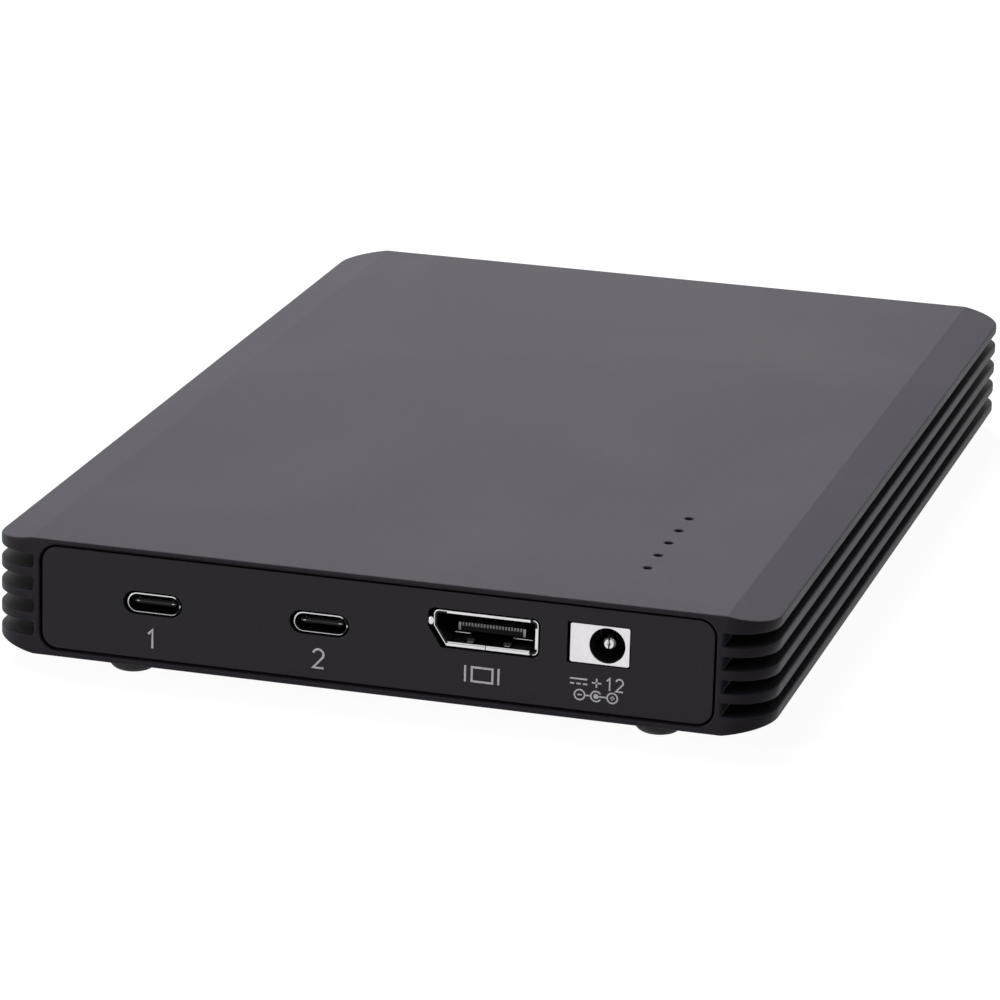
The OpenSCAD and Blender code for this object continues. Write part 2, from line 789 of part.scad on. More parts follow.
module controller_block() {
    low = board_z + controller_h + roof_pad_t;
    size = [controller_block_s, controller_block_s, ceiling_z - roof_pad_t - low];
    color([0.7, 0.7, 0.72]) on_feet() over_board(-controller_at, controller_back, low, size);
}

module small_chips() {
    places = [
        [-42, 24, 5, 5], [-42, 36, 6, 8], [-36, 52, 7, 7],
        [-10, 60, 6, 6], [8, 46, 5, 5], [12, 60, 8, 5]
    ];
    chip_h = 0.9;
    color([0.12, 0.12, 0.13]) on_feet() for (p = places) {
        over_board(p[0], p[1], board_z, [p[2], p[3], chip_h]);
    }
}

module power_coils() {
    color([0.3, 0.3, 0.32]) on_feet() for (x = [20, 29.5], back = [27, 37]) {
        translate([x, front_y + back, board_z]) {
            linear_extrude(coil_h) round_rect(coil_s, coil_s, coil_corner_r);
            for (side = [-1, 1]) {
                translate([side * coil_s / 2, 0, coil_lead[2] / 2]) cube(coil_lead, center = true);
            }
        }
    }
}

module capacitors() {
    back = 49;
    base_s = capacitor_d + 0.4;
    can_h = capacitor_h - capacitor_base_h;
    color([0.75, 0.75, 0.77]) on_feet() for (x = [18, 26, 34]) {
        over_board(x, back, board_z, [base_s, base_s, capacitor_base_h]);
        translate([x, front_y + back, board_z + capacitor_base_h]) cylinder(d = capacitor_d, h = can_h);
    }
}

// Centre of a drive across the case
function drive_x(i) = (i - (drive_count - 1) / 2) * drive_pitch;

// Edge socket that takes the front end of a drive
module drive_socket(i) {
    slot_gap = 0.1;
    mouth_y = drive_front_y + drive_tab - slot_gap;
    tab_w = drive_w - 2;
    color([0.1, 0.1, 0.11]) on_feet() translate([drive_x(i), 0, 0]) difference() {
        translate([-drive_w / 2, mouth_y - drive_socket_len, board_z])
            cube([drive_w, drive_socket_len, drive_socket_h]);
        difference() {
            translate([-tab_w / 2 - slot_gap, drive_front_y - slot_gap, drive_z - slot_gap])
                cube([tab_w + 2 * slot_gap, drive_tab + over, drive_t + 2 * slot_gap]);
            translate([drive_key_at - drive_key_w / 2 + slot_gap, drive_front_y - over, board_z])
                cube([drive_key_w - 2 * slot_gap, drive_key_len - slot_gap + over, drive_socket_h]);
        }
    }
}

// Drive board with a narrow tab in front and a half-round notch behind
module drive_board(i) {
    notch_d = 3.5;
    tab_w = drive_w - 2;
    color([0.05, 0.25, 0.15]) on_feet() translate([drive_x(i), 0, drive_z])
        linear_extrude(drive_t) difference() {
            union() {
                translate([-drive_w / 2, drive_front_y + drive_tab]) square([drive_w, drive_len - drive_tab]);
                translate([-tab_w / 2, drive_front_y]) square([tab_w, drive_tab + over]);
            }
            translate([0, drive_rear_y]) circle(d = notch_d);
            translate([drive_key_at - drive_key_w / 2, drive_front_y - over])
                square([drive_key_w, drive_key_len + over]);
        }
}

// Controller, buffer and two memory chips in a row on a drive
module drive_chips(i) {
    spans = [[0.1, 0.26], [0.32, 0.44], [0.48, 0.7], [0.74, 0.92]];
    chip_w = 14;
    color([0.12, 0.12, 0.13]) on_feet() for (span = spans) {
        translate([drive_x(i) - chip_w / 2, drive_front_y + span[0] * drive_len, drive_top_z])
            cube([chip_w, (span[1] - span[0]) * drive_len, drive_chip_h]);
    }
}

module drive_standoffs() {
    color([0.8, 0.7, 0.4]) on_feet() for (i = [0 : drive_count - 1]) {
        translate([drive_x(i), drive_rear_y, board_z]) difference() {
            cylinder(d = standoff_d, h = drive_lift);
            translate([0, 0, -over]) cylinder(d = standoff_bore_d, h = drive_lift + 2 * over);
        }
    }
}

module drive_screws() {
    head_d = 5;
    head_h = 0.8;
    shank_len = 2.6;
    color([0.7, 0.7, 0.7]) on_feet() for (i = [0 : drive_count - 1]) {
        translate([drive_x(i), drive_rear_y, drive_top_z]) {
            cylinder(d = head_d, h = head_h);
            translate([0, 0, -shank_len])
                cylinder(d = standoff_bore_d - 2 * push_gap, h = shank_len + head_h / 2);
        }
    }
}

module drive_pads() {
    pad_w = drive_w - 4;
    color([0.7, 0.72, 0.75]) on_feet() for (i = [0 : drive_count - 1]) {
        translate([drive_x(i) - pad_w / 2, spreader_from_y, drive_pad_z]) cube([pad_w, spreader_len, pad_t]);
    }
}

module heat_spreader() {
    color([0.7, 0.7, 0.72]) on_feet() translate([-spreader_w / 2, spreader_from_y, spreader_z])
        cube([spreader_w, spreader_len, spreader_top_z - spreader_z]);
}

module spreader_pad() {
    color([0.7, 0.72, 0.75]) on_feet() translate([-spreader_w / 2, spreader_from_y, spreader_top_z])
        cube([spreader_w, spreader_len, roof_pad_t]);
}

case_shell();
front_panel();
rear_panel();
rear_panel_screws();
foot(left_foot_x, front_foot_y);  // foot_front_left
foot(right_foot_x, front_foot_y);  // foot_front_right
foot(left_foot_x, rear_foot_y);  // foot_rear_left
foot(right_foot_x, rear_foot_y);  // foot_rear_right
main_board();
data_socket_shell(data_socket_at[0]);  // data_socket_shell_left
data_socket_shell(data_socket_at[1]);  // data_socket_shell_right
data_socket_tongue(data_socket_at[0]);  // data_socket_tongue_left
data_socket_tongue(data_socket_at[1]);  // data_socket_tongue_right
data_socket_contacts();
video_socket_shell();
video_socket_insert();
video_socket_contacts();
power_jack_body();
power_jack_face();
power_jack_pin();
power_jack_spring();
status_lamps();
light_guide();
controller_chip();
controller_pads();
controller_block();
small_chips();
power_coils();
capacitors();
drive_socket(0);  // drive_socket_1
drive_socket(1);  // drive_socket_2
drive_socket(2);  // drive_socket_3
drive_socket(3);  // drive_socket_4
drive_board(0);  // drive_board_1
drive_board(1);  // drive_board_2
drive_board(2);  // drive_board_3
drive_board(3);  // drive_board_4
drive_chips(0);  // drive_chips_1
drive_chips(1);  // drive_chips_2
drive_chips(2);  // drive_chips_3
drive_chips(3);  // drive_chips_4
drive_standoffs();
drive_screws();
drive_pads();
heat_spreader();
spreader_pad();
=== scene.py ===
# %% [markdown]
# # A finned aluminium drive enclosure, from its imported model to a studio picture
# The model comes in first. Its nodes stay where the CAD put them, and everything made here
# (finishes, rounded edges, printed marks, lamps and camera) is built round them, in metres.

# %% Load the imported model
import json
import math

import bmesh
import bpy
from mathutils import Matrix, Vector

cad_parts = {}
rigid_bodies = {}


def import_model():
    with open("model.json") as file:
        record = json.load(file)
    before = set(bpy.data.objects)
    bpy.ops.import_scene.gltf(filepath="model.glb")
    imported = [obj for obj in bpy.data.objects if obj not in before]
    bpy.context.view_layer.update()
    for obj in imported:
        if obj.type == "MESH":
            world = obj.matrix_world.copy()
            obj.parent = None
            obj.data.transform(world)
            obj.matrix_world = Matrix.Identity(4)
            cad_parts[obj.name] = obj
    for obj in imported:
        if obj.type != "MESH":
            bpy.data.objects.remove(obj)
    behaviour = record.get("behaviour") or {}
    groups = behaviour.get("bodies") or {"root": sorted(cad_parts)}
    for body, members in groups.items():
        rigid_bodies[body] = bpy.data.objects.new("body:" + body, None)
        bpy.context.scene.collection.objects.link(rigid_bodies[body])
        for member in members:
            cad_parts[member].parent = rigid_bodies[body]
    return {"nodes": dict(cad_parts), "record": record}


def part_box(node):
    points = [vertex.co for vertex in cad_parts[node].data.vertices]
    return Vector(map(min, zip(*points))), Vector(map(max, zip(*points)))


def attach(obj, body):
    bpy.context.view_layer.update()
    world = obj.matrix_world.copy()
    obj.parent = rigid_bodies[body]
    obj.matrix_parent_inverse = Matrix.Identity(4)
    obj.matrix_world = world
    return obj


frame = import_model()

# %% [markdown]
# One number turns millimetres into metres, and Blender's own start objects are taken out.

MM = 0.001
scene = bpy.context.scene
for spare in [o for o in bpy.data.objects if o.name in ("Cube", "Light", "Camera")]:
    bpy.data.objects.remove(spare)
nodes = frame["nodes"]
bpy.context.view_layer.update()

# %% [markdown]
# ## The camera
# The picture was taken from the front, a little to the right and from above, with a long lens.
# A camera can be placed by hand, but here its two angles, its roll and its distance come from
# the straight edges of the case, which fixes it exactly. The three axes below are the camera's
# right, up and back. They are built from the angles and put into one matrix.

# %% Camera from its angles
CAMERA_SIDE = math.radians(15.251)
CAMERA_RISE = math.radians(17.276)
CAMERA_ROLL = math.radians(1.619)
CAMERA_SHIFT = (-6.041 * MM, 3.438 * MM)
CAMERA_AWAY = 905.48 * MM
LENS_IN_WIDTHS = 5.148
FOOT_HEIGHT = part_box("foot_front_left")[1].z

back = Vector((
    math.sin(CAMERA_SIDE) * math.cos(CAMERA_RISE),
    -math.cos(CAMERA_SIDE) * math.cos(CAMERA_RISE),
    math.sin(CAMERA_RISE),
))
level = Vector((math.cos(CAMERA_SIDE), math.sin(CAMERA_SIDE), 0))
upright = back.cross(level)
right = math.cos(CAMERA_ROLL) * level + math.sin(CAMERA_ROLL) * upright
up = -math.sin(CAMERA_ROLL) * level + math.cos(CAMERA_ROLL) * upright
seen_from = right * CAMERA_SHIFT[0] + up * CAMERA_SHIFT[1] + back * CAMERA_AWAY
seen_from.z += FOOT_HEIGHT

camera_data = bpy.data.cameras.new("photo_camera")
camera_data.sensor_width = 36
camera_data.lens = LENS_IN_WIDTHS * camera_data.sensor_width
camera_data.clip_start = 0.05
camera_data.clip_end = 50
camera = bpy.data.objects.new("photo_camera", camera_data)
scene.collection.objects.link(camera)
turn = Matrix((right, up, back)).transposed().to_4x4()
camera.matrix_world = Matrix.Translation(seen_from) @ turn
scene.camera = camera
print("camera at", [round(c, 4) for c in seen_from], "lens", round(camera_data.lens, 2))

# %% [markdown]
# ## Wiring nodes in few words
# Shader trees are made of nodes and links. Writing each link out takes many lines, so this
# helper makes a node, sets its properties, and fills its inputs: a socket is linked, and any
# other value is written into the input. Small ones for sums, ranges and mixes build on it.

# %% Node helpers
def wire(tree, kind, inputs=None, **settings):
    made = tree.nodes.new(kind)
    for name, value in settings.items():
        setattr(made, name, value)
    for key, value in (inputs or {}).items():
        if isinstance(value, bpy.types.NodeSocket):
            tree.links.new(value, made.inputs[key])
        else:
            made.inputs[key].default_value = value
    return made


def math_of(tree, operation, *values, clamp=False):
    made = wire(tree, "ShaderNodeMath", dict(enumerate(values)), operation=operation, use_clamp=clamp)
    return made.outputs[0]


def times(tree, product, *others):
    for other in others:
        product = math_of(tree, "MULTIPLY", product, other)
    return product


def spread(tree, value, low, high, to_low=0.0, to_high=1.0, kind="LINEAR"):
    """Maps low..high to to_low..to_high, and clamps what lies outside."""
    inputs = {"Value": value, "From Min": low, "From Max": high, "To Min": to_low, "To Max": to_high}
    return wire(tree, "ShaderNodeMapRange", inputs, interpolation_type=kind, clamp=True).outputs["Result"]


def blend_colours(tree, amount, first, second):
    made = wire(tree, "ShaderNodeMix", data_type="RGBA", blend_type="MIX", clamp_factor=True)
    for socket, value in zip((made.inputs[0], made.inputs[6], made.inputs[7]), (amount, first, second)):
        if isinstance(value, bpy.types.NodeSocket):
            tree.links.new(value, socket)
        elif isinstance(value, (int, float)):
            socket.default_value = value
        else:
            socket.default_value = (*value, 1)
    return made.outputs[2]


def object_place(tree):
    return tree.nodes.new("ShaderNodeTexCoord").outputs["Object"]


def new_group(name, inputs, outputs):
    """A shader node group. Inputs are {name: default}, outputs are {name: socket type}."""
    tree = bpy.data.node_groups.new(name, "ShaderNodeTree")
    for label, default in inputs.items():
        socket = tree.interface.new_socket(label, in_out="INPUT", socket_type="NodeSocketFloat")
        socket.default_value = default
    for label, kind in outputs.items():
        tree.interface.new_socket(label, in_out="OUTPUT", socket_type=kind)
    return tree, tree.nodes.new("NodeGroupInput").outputs, tree.nodes.new("NodeGroupOutput").inputs


def use_group(tree, name, **inputs):
    made = tree.nodes.new("ShaderNodeGroup")
    made.node_tree = bpy.data.node_groups[name]
    for label, value in inputs.items():
        socket = made.inputs[label.replace("_", " ")]
        if isinstance(value, bpy.types.NodeSocket):
            tree.links.new(value, socket)
        else:
            socket.default_value = value
    return made.outputs


# %% [markdown]
# ## The studio
# The object stands on a white table in a white room. The floor is a plain diffuse sheet, so that
# the shadow falls on it. Its colour is lifted to white with a little emission that only the
# camera and mirror-like rays see, which is how a backdrop is kept white without more light on
# the object. The lift grows with distance, so the table fades to pure white.

# %% Floor
FLOOR_SIZE = 12.0
FLOOR_COLOUR = (0.20, 0.20, 0.20)
FLOOR_LIFT = (0.955, 1.0)
FLOOR_FADE = (0.16, 0.60)


def seen_directly(tree):
    """1 for what the camera sees itself, in a mirror-like surface or through glass, else 0."""
    path = tree.nodes.new("ShaderNodeLightPath").outputs
    seen = math_of(tree, "ADD", path["Is Camera Ray"], path["Is Glossy Ray"])
    return math_of(tree, "ADD", seen, path["Is Transmission Ray"], clamp=True)


floor_mesh = bpy.data.meshes.new("studio_floor")
half = FLOOR_SIZE / 2
corners = [(-half, -half, 0), (half, -half, 0), (half, half, 0), (-half, half, 0)]
floor_mesh.from_pydata(corners, [], [(0, 1, 2, 3)])
floor = bpy.data.objects.new("studio_floor", floor_mesh)
scene.collection.objects.link(floor)
floor_paint = bpy.data.materials.new("white_table")
floor_paint.use_nodes = True
tree = floor_paint.node_tree
tree.nodes.clear()
away = wire(tree, "ShaderNodeVectorMath", {0: object_place(tree)}, operation="LENGTH").outputs["Value"]
lift = spread(tree, away, *FLOOR_FADE, *FLOOR_LIFT, kind="SMOOTHSTEP")
table_skin = wire(tree, "ShaderNodeBsdfDiffuse", {"Color": (*FLOOR_COLOUR, 1)})
glow = wire(tree, "ShaderNodeEmission", {"Strength": math_of(tree, "MULTIPLY", lift, seen_directly(tree))})
both = wire(tree, "ShaderNodeAddShader", {0: table_skin.outputs[0], 1: glow.outputs[0]})
wire(tree, "ShaderNodeOutputMaterial", {"Surface": both.outputs[0]})
floor_mesh.materials.append(floor_paint)
print("floor", FLOOR_SIZE, "m, lifted", FLOOR_LIFT)

# %% [markdown]
# The room is one even grey for the light that falls on matt surfaces, and white for whatever
# sees it directly. Three softboxes do the rest. The key hangs high, and makes the top the
# brightest side. A weak one behind adds the soft sheen on the top. One low at the left wraps
# round the finned corner. The front gets mostly what the room and the table give back, so it
# stays dark, as in a real product picture.

# %% Room and softboxes
ROOM_GREY = 0.03
room = bpy.data.worlds.new("white_room")
scene.world = room
room.use_nodes = True
tree = room.node_tree
tree.nodes.clear()
room_light = spread(tree, seen_directly(tree), 0.0, 1.0, ROOM_GREY, 1.0)
sky = wire(tree, "ShaderNodeBackground", {"Color": (1, 1, 1, 1), "Strength": room_light})
wire(tree, "ShaderNodeOutputWorld", {"Surface": sky.outputs[0]})


def softbox(name, at, aim, size, level):
    """A square lamp. Its level is what a white card at the aim would show, 1 being white."""
    at, aim = Vector(at), Vector(aim)
    data = bpy.data.lights.new(name, "AREA")
    data.shape = "SQUARE"
    data.size = size
    data.energy = level * math.pi ** 2 * (at - aim).length_squared
    lamp = bpy.data.objects.new(name, data)
    lamp.location = at
    lamp.rotation_euler = (aim - at).to_track_quat("-Z", "Y").to_euler()
    scene.collection.objects.link(lamp)


softbox("key_softbox", (-1.1, 1.2, 2.9), (0, 0, 0), 1.7, 0.68)
softbox("back_softbox", (-0.85, 3.1, 1.25), (0, 0, 0.02), 0.8, 0.0235)
softbox("front_softbox", (-2.2, -1.8, 0.9), (0, 0, 0.02), 0.9, 0.22)
scene.view_settings.view_transform = "Standard"

# %% [markdown]
# ## Effects that several finishes share
# Grain, wear and smudges appear on almost every part, each time in another size and strength.
# Each is one node group with named inputs, which a material places with its own values. They
# all read object coordinates, and an object's coordinates here are metres, so a scale of 4000
# makes grains a quarter of a millimetre wide. Noise is what they are made from, so it gets a
# helper of its own.

# %% Noise in one call, and the axes of a place
FLOAT = "NodeSocketFloat"


def object_axes(tree):
    """X, Y and Z of the place on the object, as separate sockets."""
    return wire(tree, "ShaderNodeSeparateXYZ", {0: object_place(tree)}).outputs


def noise(tree, vector, scale, detail, **more):
    inputs = {"Vector": vector, "Scale": scale, "Detail": detail}
    inputs.update({label.capitalize(): value for label, value in more.items()})
    return wire(tree, "ShaderNodeTexNoise", inputs).outputs["Fac"]


# %% [markdown]
# Bead blasting leaves a fine even grain over a slower, cloudier one. Two noises of different
# scale give both, and one input says how much of the coarse one is mixed in.

# %% Group: blast grain
tree, give, take = new_group("blast grain", {"Grains per metre": 4000, "Coarse share": 0.35},
                             {"Shade": FLOAT, "Height": FLOAT})
where = object_place(tree)
fine = noise(tree, where, give[0], 2.0, roughness=0.65)
coarse = noise(tree, where, times(tree, give[0], 0.13), 3.0, roughness=0.6)
mixed = wire(tree, "ShaderNodeMix", {0: give[1], 2: fine, 3: coarse}, data_type="FLOAT").outputs[0]
tree.links.new(spread(tree, mixed, 0.28, 0.72), take["Shade"])
tree.links.new(fine, take["Height"])

# %% [markdown]
# Wear sits where a hand or a table rubs: on the edges. The Bevel node gives the normal that a
# rounded edge would have, so where it leaves the true normal there is an edge. Breaking that
# mask up with noise keeps the wear from looking drawn on. On the panels the pale edge colour
# is also a painted highlight of the light that the edges catch.

# %% Group: edge wear, also used for a painted edge highlight
tree, give, take = new_group("edge wear", {"Radius": 0.0003, "Breaks per metre": 900, "Amount": 0.5},
                             {"Mask": FLOAT})
rounded = wire(tree, "ShaderNodeBevel", {"Radius": give[0]}, samples=6).outputs[0]
true_normal = tree.nodes.new("ShaderNodeNewGeometry").outputs["Normal"]
match = wire(tree, "ShaderNodeVectorMath", {0: rounded, 1: true_normal}, operation="DOT_PRODUCT")
edge = spread(tree, match.outputs["Value"], 0.995, 0.86)
patches = noise(tree, object_place(tree), give[1], 4.0, roughness=0.7)
broken = spread(tree, patches, 0.35, 0.65, 0.25, 1.0)
tree.links.new(times(tree, edge, broken, give[2]), take["Mask"])

# %% [markdown]
# Hands leave soft patches where a surface shines a little more. They have no edge, so a slow,
# twisted noise with a smooth step is enough.

# %% Group: handling marks
tree, give, take = new_group("handling marks", {"Marks per metre": 22, "Amount": 0.5}, {"Mask": FLOAT})
drift = noise(tree, object_place(tree), give[0], 5.0, roughness=0.55, distortion=0.6)
patch = spread(tree, drift, 0.42, 0.70, kind="SMOOTHSTEP")
tree.links.new(times(tree, patch, give[1]), take["Mask"])

# %% [markdown]
# Dust settles on what faces up, and only there. The mask is the upward part of the normal,
# broken up by a very fine noise, so that it reads as separate specks when seen close.

# %% Group: settled dust
tree, give, take = new_group("settled dust", {"Specks per metre": 2600, "Amount": 0.3}, {"Mask": FLOAT})
where = object_place(tree)
normal = tree.nodes.new("ShaderNodeNewGeometry").outputs["Normal"]
upward = spread(tree, wire(tree, "ShaderNodeSeparateXYZ", {0: normal}).outputs["Z"], 0.6, 1.0)
specks = noise(tree, where, give[0], 1.0, roughness=0.5)
drifts = noise(tree, where, 35.0, 3.0)
dots = times(tree, spread(tree, specks, 0.60, 0.72), spread(tree, drifts, 0.35, 0.65))
tree.links.new(times(tree, dots, upward, give[1]), take["Mask"])

# %% [markdown]
# Several places need the distance inward from a round-cornered outline: the grooves of the case,
# and the front edges of the socket shells. The usual formula takes the point's distance past the
# straight part of each side, and turns round the corner with a length.

# %% Group: inward from outline
outline_in = {"Across": 0, "Up": 0, "Half width": 1, "Half height": 1, "Radius": 0.1}
tree, give, take = new_group("inward from outline", outline_in, {"Distance": FLOAT})
past = []
for axis in (0, 1):
    straight = math_of(tree, "SUBTRACT", give[2 + axis], give[4])
    past.append(math_of(tree, "SUBTRACT", math_of(tree, "ABSOLUTE", give[axis]), straight))
turned = {i: math_of(tree, "MAXIMUM", past[i], 0.0) for i in (0, 1)}
corner = wire(tree, "ShaderNodeCombineXYZ", turned).outputs[0]
reach = wire(tree, "ShaderNodeVectorMath", {0: corner}, operation="LENGTH").outputs["Value"]
flat = math_of(tree, "MINIMUM", math_of(tree, "MAXIMUM", *past), 0.0)
tree.links.new(math_of(tree, "SUBTRACT", give[4], math_of(tree, "ADD", reach, flat)), take["Distance"])

# %% [markdown]
# Inside a socket the metal lies in shade while its front edge is bright, so the inside is given
# painted shade: a darker colour, and a little more roughness. A mask that grows with the depth
# behind the panel's face tells the two apart.

# %% Group: painted shade inside a socket
PANEL_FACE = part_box("front_panel")[0].y
tree, give, take = new_group("dull inside", {"From": 0.001, "To": 0.002}, {"Mask": FLOAT})
depth = math_of(tree, "SUBTRACT", object_axes(tree)["Y"], PANEL_FACE)
tree.links.new(spread(tree, depth, give[0], give[1], kind="SMOOTHSTEP"), take["Mask"])

# %% [markdown]
# Rolled sheet, drawn shells and extrusions carry fine lines in the direction they were made in.
# Noise that is stretched along one axis gives them. The three inputs say how many features
# there are per metre along each axis, so a small number makes long lines.

# %% Group: drawn lines
lines_in = {"Per metre X": 6000, "Per metre Y": 60, "Per metre Z": 6000}
tree, give, take = new_group("drawn lines", lines_in, {"Shade": FLOAT, "Height": FLOAT})
stretch = wire(tree, "ShaderNodeCombineXYZ", {0: give[0], 1: give[1], 2: give[2]}).outputs[0]
pulled = wire(tree, "ShaderNodeVectorMath", {0: object_place(tree), 1: stretch}, operation="MULTIPLY")
lines = noise(tree, pulled.outputs[0], 1.0, 4.0, roughness=0.7)
tree.links.new(spread(tree, lines, 0.3, 0.7), take["Shade"])
tree.links.new(lines, take["Height"])

# %% [markdown]
# A moulded or sprayed skin takes the grain of its tool: shallow pits with round rims, over a
# slower ripple. Smooth Voronoi cells make the pits and noise makes the ripple.

# %% Group: moulded skin
tree, give, take = new_group("moulded skin", {"Pits per metre": 3500}, {"Shade": FLOAT, "Height": FLOAT})
where = object_place(tree)
cells = wire(tree, "ShaderNodeTexVoronoi", {"Vector": where, "Scale": give[0], "Randomness": 1.0},
             feature="SMOOTH_F1")
cells.inputs["Smoothness"].default_value = 0.7
ripple = noise(tree, where, times(tree, give[0], 0.3), 3.0)
height = math_of(tree, "ADD", times(tree, cells.outputs["Distance"], 0.6), times(tree, ripple, 0.4))
tree.links.new(spread(tree, ripple, 0.3, 0.7), take["Shade"])
tree.links.new(height, take["Height"])
print("shared groups:", [g.name for g in bpy.data.node_groups])

# %% [markdown]
# ## One frame for all finishes
# Every finish ends in a Principled shader. What is the same all over is written on its sockets,
# and what changes over the surface comes in through links. One helper starts a material, keeps
# it by name, and hands back its tree and its shader. Two more fill in colour, shine and bumps.

# %% Start of a finish
finishes = {}


def new_finish(name, **constants):
    made = bpy.data.materials.new(name)
    made.use_nodes = True
    made.node_tree.nodes.clear()
    shader = wire(made.node_tree, "ShaderNodeBsdfPrincipled")
    for label, value in constants.items():
        shader.inputs[label.replace("_", " ")].default_value = value
    wire(made.node_tree, "ShaderNodeOutputMaterial", {"Surface": shader.outputs[0]})
    finishes[name] = made
    return made.node_tree, shader


def feed(tree, shader, colour, rough):
    tree.links.new(colour, shader.inputs["Base Color"])
    tree.links.new(rough, shader.inputs["Roughness"])


def bump(tree, shader, height, distance, strength, **more):
    inputs = {"Height": height, "Distance": distance, "Strength": strength, **more}
    tree.links.new(wire(tree, "ShaderNodeBump", inputs).outputs[0], shader.inputs["Normal"])


# %% [markdown]
# ## Anodised aluminium: the sleeve
# The case looks extruded, cut square, blasted with fine beads and anodised dark grey with a faint
# violet cast. Blasting leaves an even grain and the dye is held in a thin glassy layer, so the
# surface is nearly black seen head on and turns grey where it is seen at a low angle. A dark
# base under a rough clear shine does that by itself. The extrusion's own lines stay faint. The
# top is painted lighter than the sides, which is painted light, and the grooves are painted
# darkest, which is painted shade. The flat ends round the panels are lighter too, for a reason
# not known. Masks from the height, the normal and the outline tell these places apart, and their
# tones were set by comparing with the photograph. The masks read the object itself and not the
# camera, so they stay put in every view.

# %% Finish: anodised aluminium
# The top's tones are painted light, lighter than the sides' for the light that falls on the top.
LIT_TOP_DARK, LIT_TOP_PALE = (0.045, 0.0375, 0.0555), (0.062, 0.0515, 0.0755)
SIDE_DARK, SIDE_PALE = (0.022, 0.0193, 0.025), (0.032, 0.0285, 0.0365)
END_DARK, END_PALE = (0.043, 0.037, 0.050), (0.062, 0.054, 0.072)
CASE_WORN, CASE_DUST = (0.17, 0.165, 0.18), (0.34, 0.33, 0.32)
# Painted shade: the near-black colour of the grooves.
GROOVE_SHADE = (0.006, 0.0057, 0.0065)
CASE_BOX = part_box("case_shell")
CASE_HALF, CORNER_R = (CASE_BOX[1] - CASE_BOX[0]) / 2, 7.3 * MM
TOP_FROM, BASE_TO = CASE_BOX[1].z - 1.35 * MM, CASE_BOX[0].z + 1.6 * MM
LEVEL_FADE = 0.1 * MM
GROOVE_FADE = (0.3 * MM, 2.0 * MM)
END_FADE = (CASE_HALF.x - CORNER_R + 1.8 * MM, CASE_HALF.x - CORNER_R - 0.4 * MM)
END_DEPTH = (CASE_HALF.y - 0.8 * MM, CASE_HALF.y - 0.4 * MM)
GRAIN_SHARE, LINES_SHARE = 0.72, 0.28
MARKS_SHINE, WEAR_SHINE = -0.06, -0.15
tree, shader = new_finish("anodised_aluminium", IOR=1.23, Specular_Tint=(0.97, 0.88, 1.0, 1))
grain = use_group(tree, "blast grain", Grains_per_metre=5200, Coarse_share=0.42)
pulled = use_group(tree, "drawn lines", Per_metre_X=1400, Per_metre_Y=9, Per_metre_Z=1400)
wear_and_highlight = use_group(tree, "edge wear", Radius=0.00028, Breaks_per_metre=700, Amount=0.45)
marks = use_group(tree, "handling marks", Marks_per_metre=16, Amount=0.5)
dust = use_group(tree, "settled dust", Specks_per_metre=3600, Amount=0.06)
place = object_axes(tree)
flat_normal = tree.nodes.new("ShaderNodeNewGeometry").outputs["True Normal"]
facing = wire(tree, "ShaderNodeSeparateXYZ", {0: flat_normal}).outputs
# Painted light: this mask picks the up-facing top, which takes the lighter tones.
lit_top = times(tree, spread(tree, place["Z"], TOP_FROM, TOP_FROM + LEVEL_FADE),
               spread(tree, facing["Z"], 0.5, 0.95))
inward = use_group(tree, "inward from outline", Across=place["X"], Up=place["Y"], Half_width=CASE_HALF.x,
                   Half_height=CASE_HALF.y, Radius=CORNER_R)["Distance"]
# Painted shade: this mask picks the grooves, which take the darkest colour.
groove_shade = times(tree, spread(tree, inward, *GROOVE_FADE),
                  spread(tree, place["Z"], BASE_TO, BASE_TO + LEVEL_FADE),
                  spread(tree, place["Z"], TOP_FROM, TOP_FROM - LEVEL_FADE))
on_end = times(tree, spread(tree, math_of(tree, "ABSOLUTE", facing["Y"]), 0.6, 0.9),
               spread(tree, math_of(tree, "ABSOLUTE", place["X"]), *END_FADE),
               spread(tree, math_of(tree, "ABSOLUTE", place["Y"]), *END_DEPTH))
tone = math_of(tree, "ADD", times(tree, grain["Shade"], GRAIN_SHARE),
               times(tree, pulled["Shade"], LINES_SHARE))
colour = blend_colours(tree, lit_top, blend_colours(tree, tone, SIDE_DARK, SIDE_PALE),
                       blend_colours(tree, tone, LIT_TOP_DARK, LIT_TOP_PALE))
colour = blend_colours(tree, on_end, colour, blend_colours(tree, tone, END_DARK, END_PALE))
colour = blend_colours(tree, groove_shade, colour, GROOVE_SHADE)
colour = blend_colours(tree, wear_and_highlight["Mask"], colour, CASE_WORN)
colour = blend_colours(tree, dust["Mask"], colour, CASE_DUST)
rough = spread(tree, grain["Shade"], 0, 1, 0.46, 0.54)
rough = math_of(tree, "ADD", rough, times(tree, marks["Mask"], MARKS_SHINE))
rough = math_of(tree, "ADD", rough, times(tree, wear_and_highlight["Mask"], WEAR_SHINE))
feed(tree, shader, colour, rough)
soft_edge = wire(tree, "ShaderNodeBevel", {"Radius": 0.33 * MM}, samples=8).outputs[0]
bump(tree, shader, grain["Height"], 0.00003, 0.55, Normal=soft_edge)
print("case: top from", round(TOP_FROM / MM, 2), "mm, base to", round(BASE_TO / MM, 2), "mm")
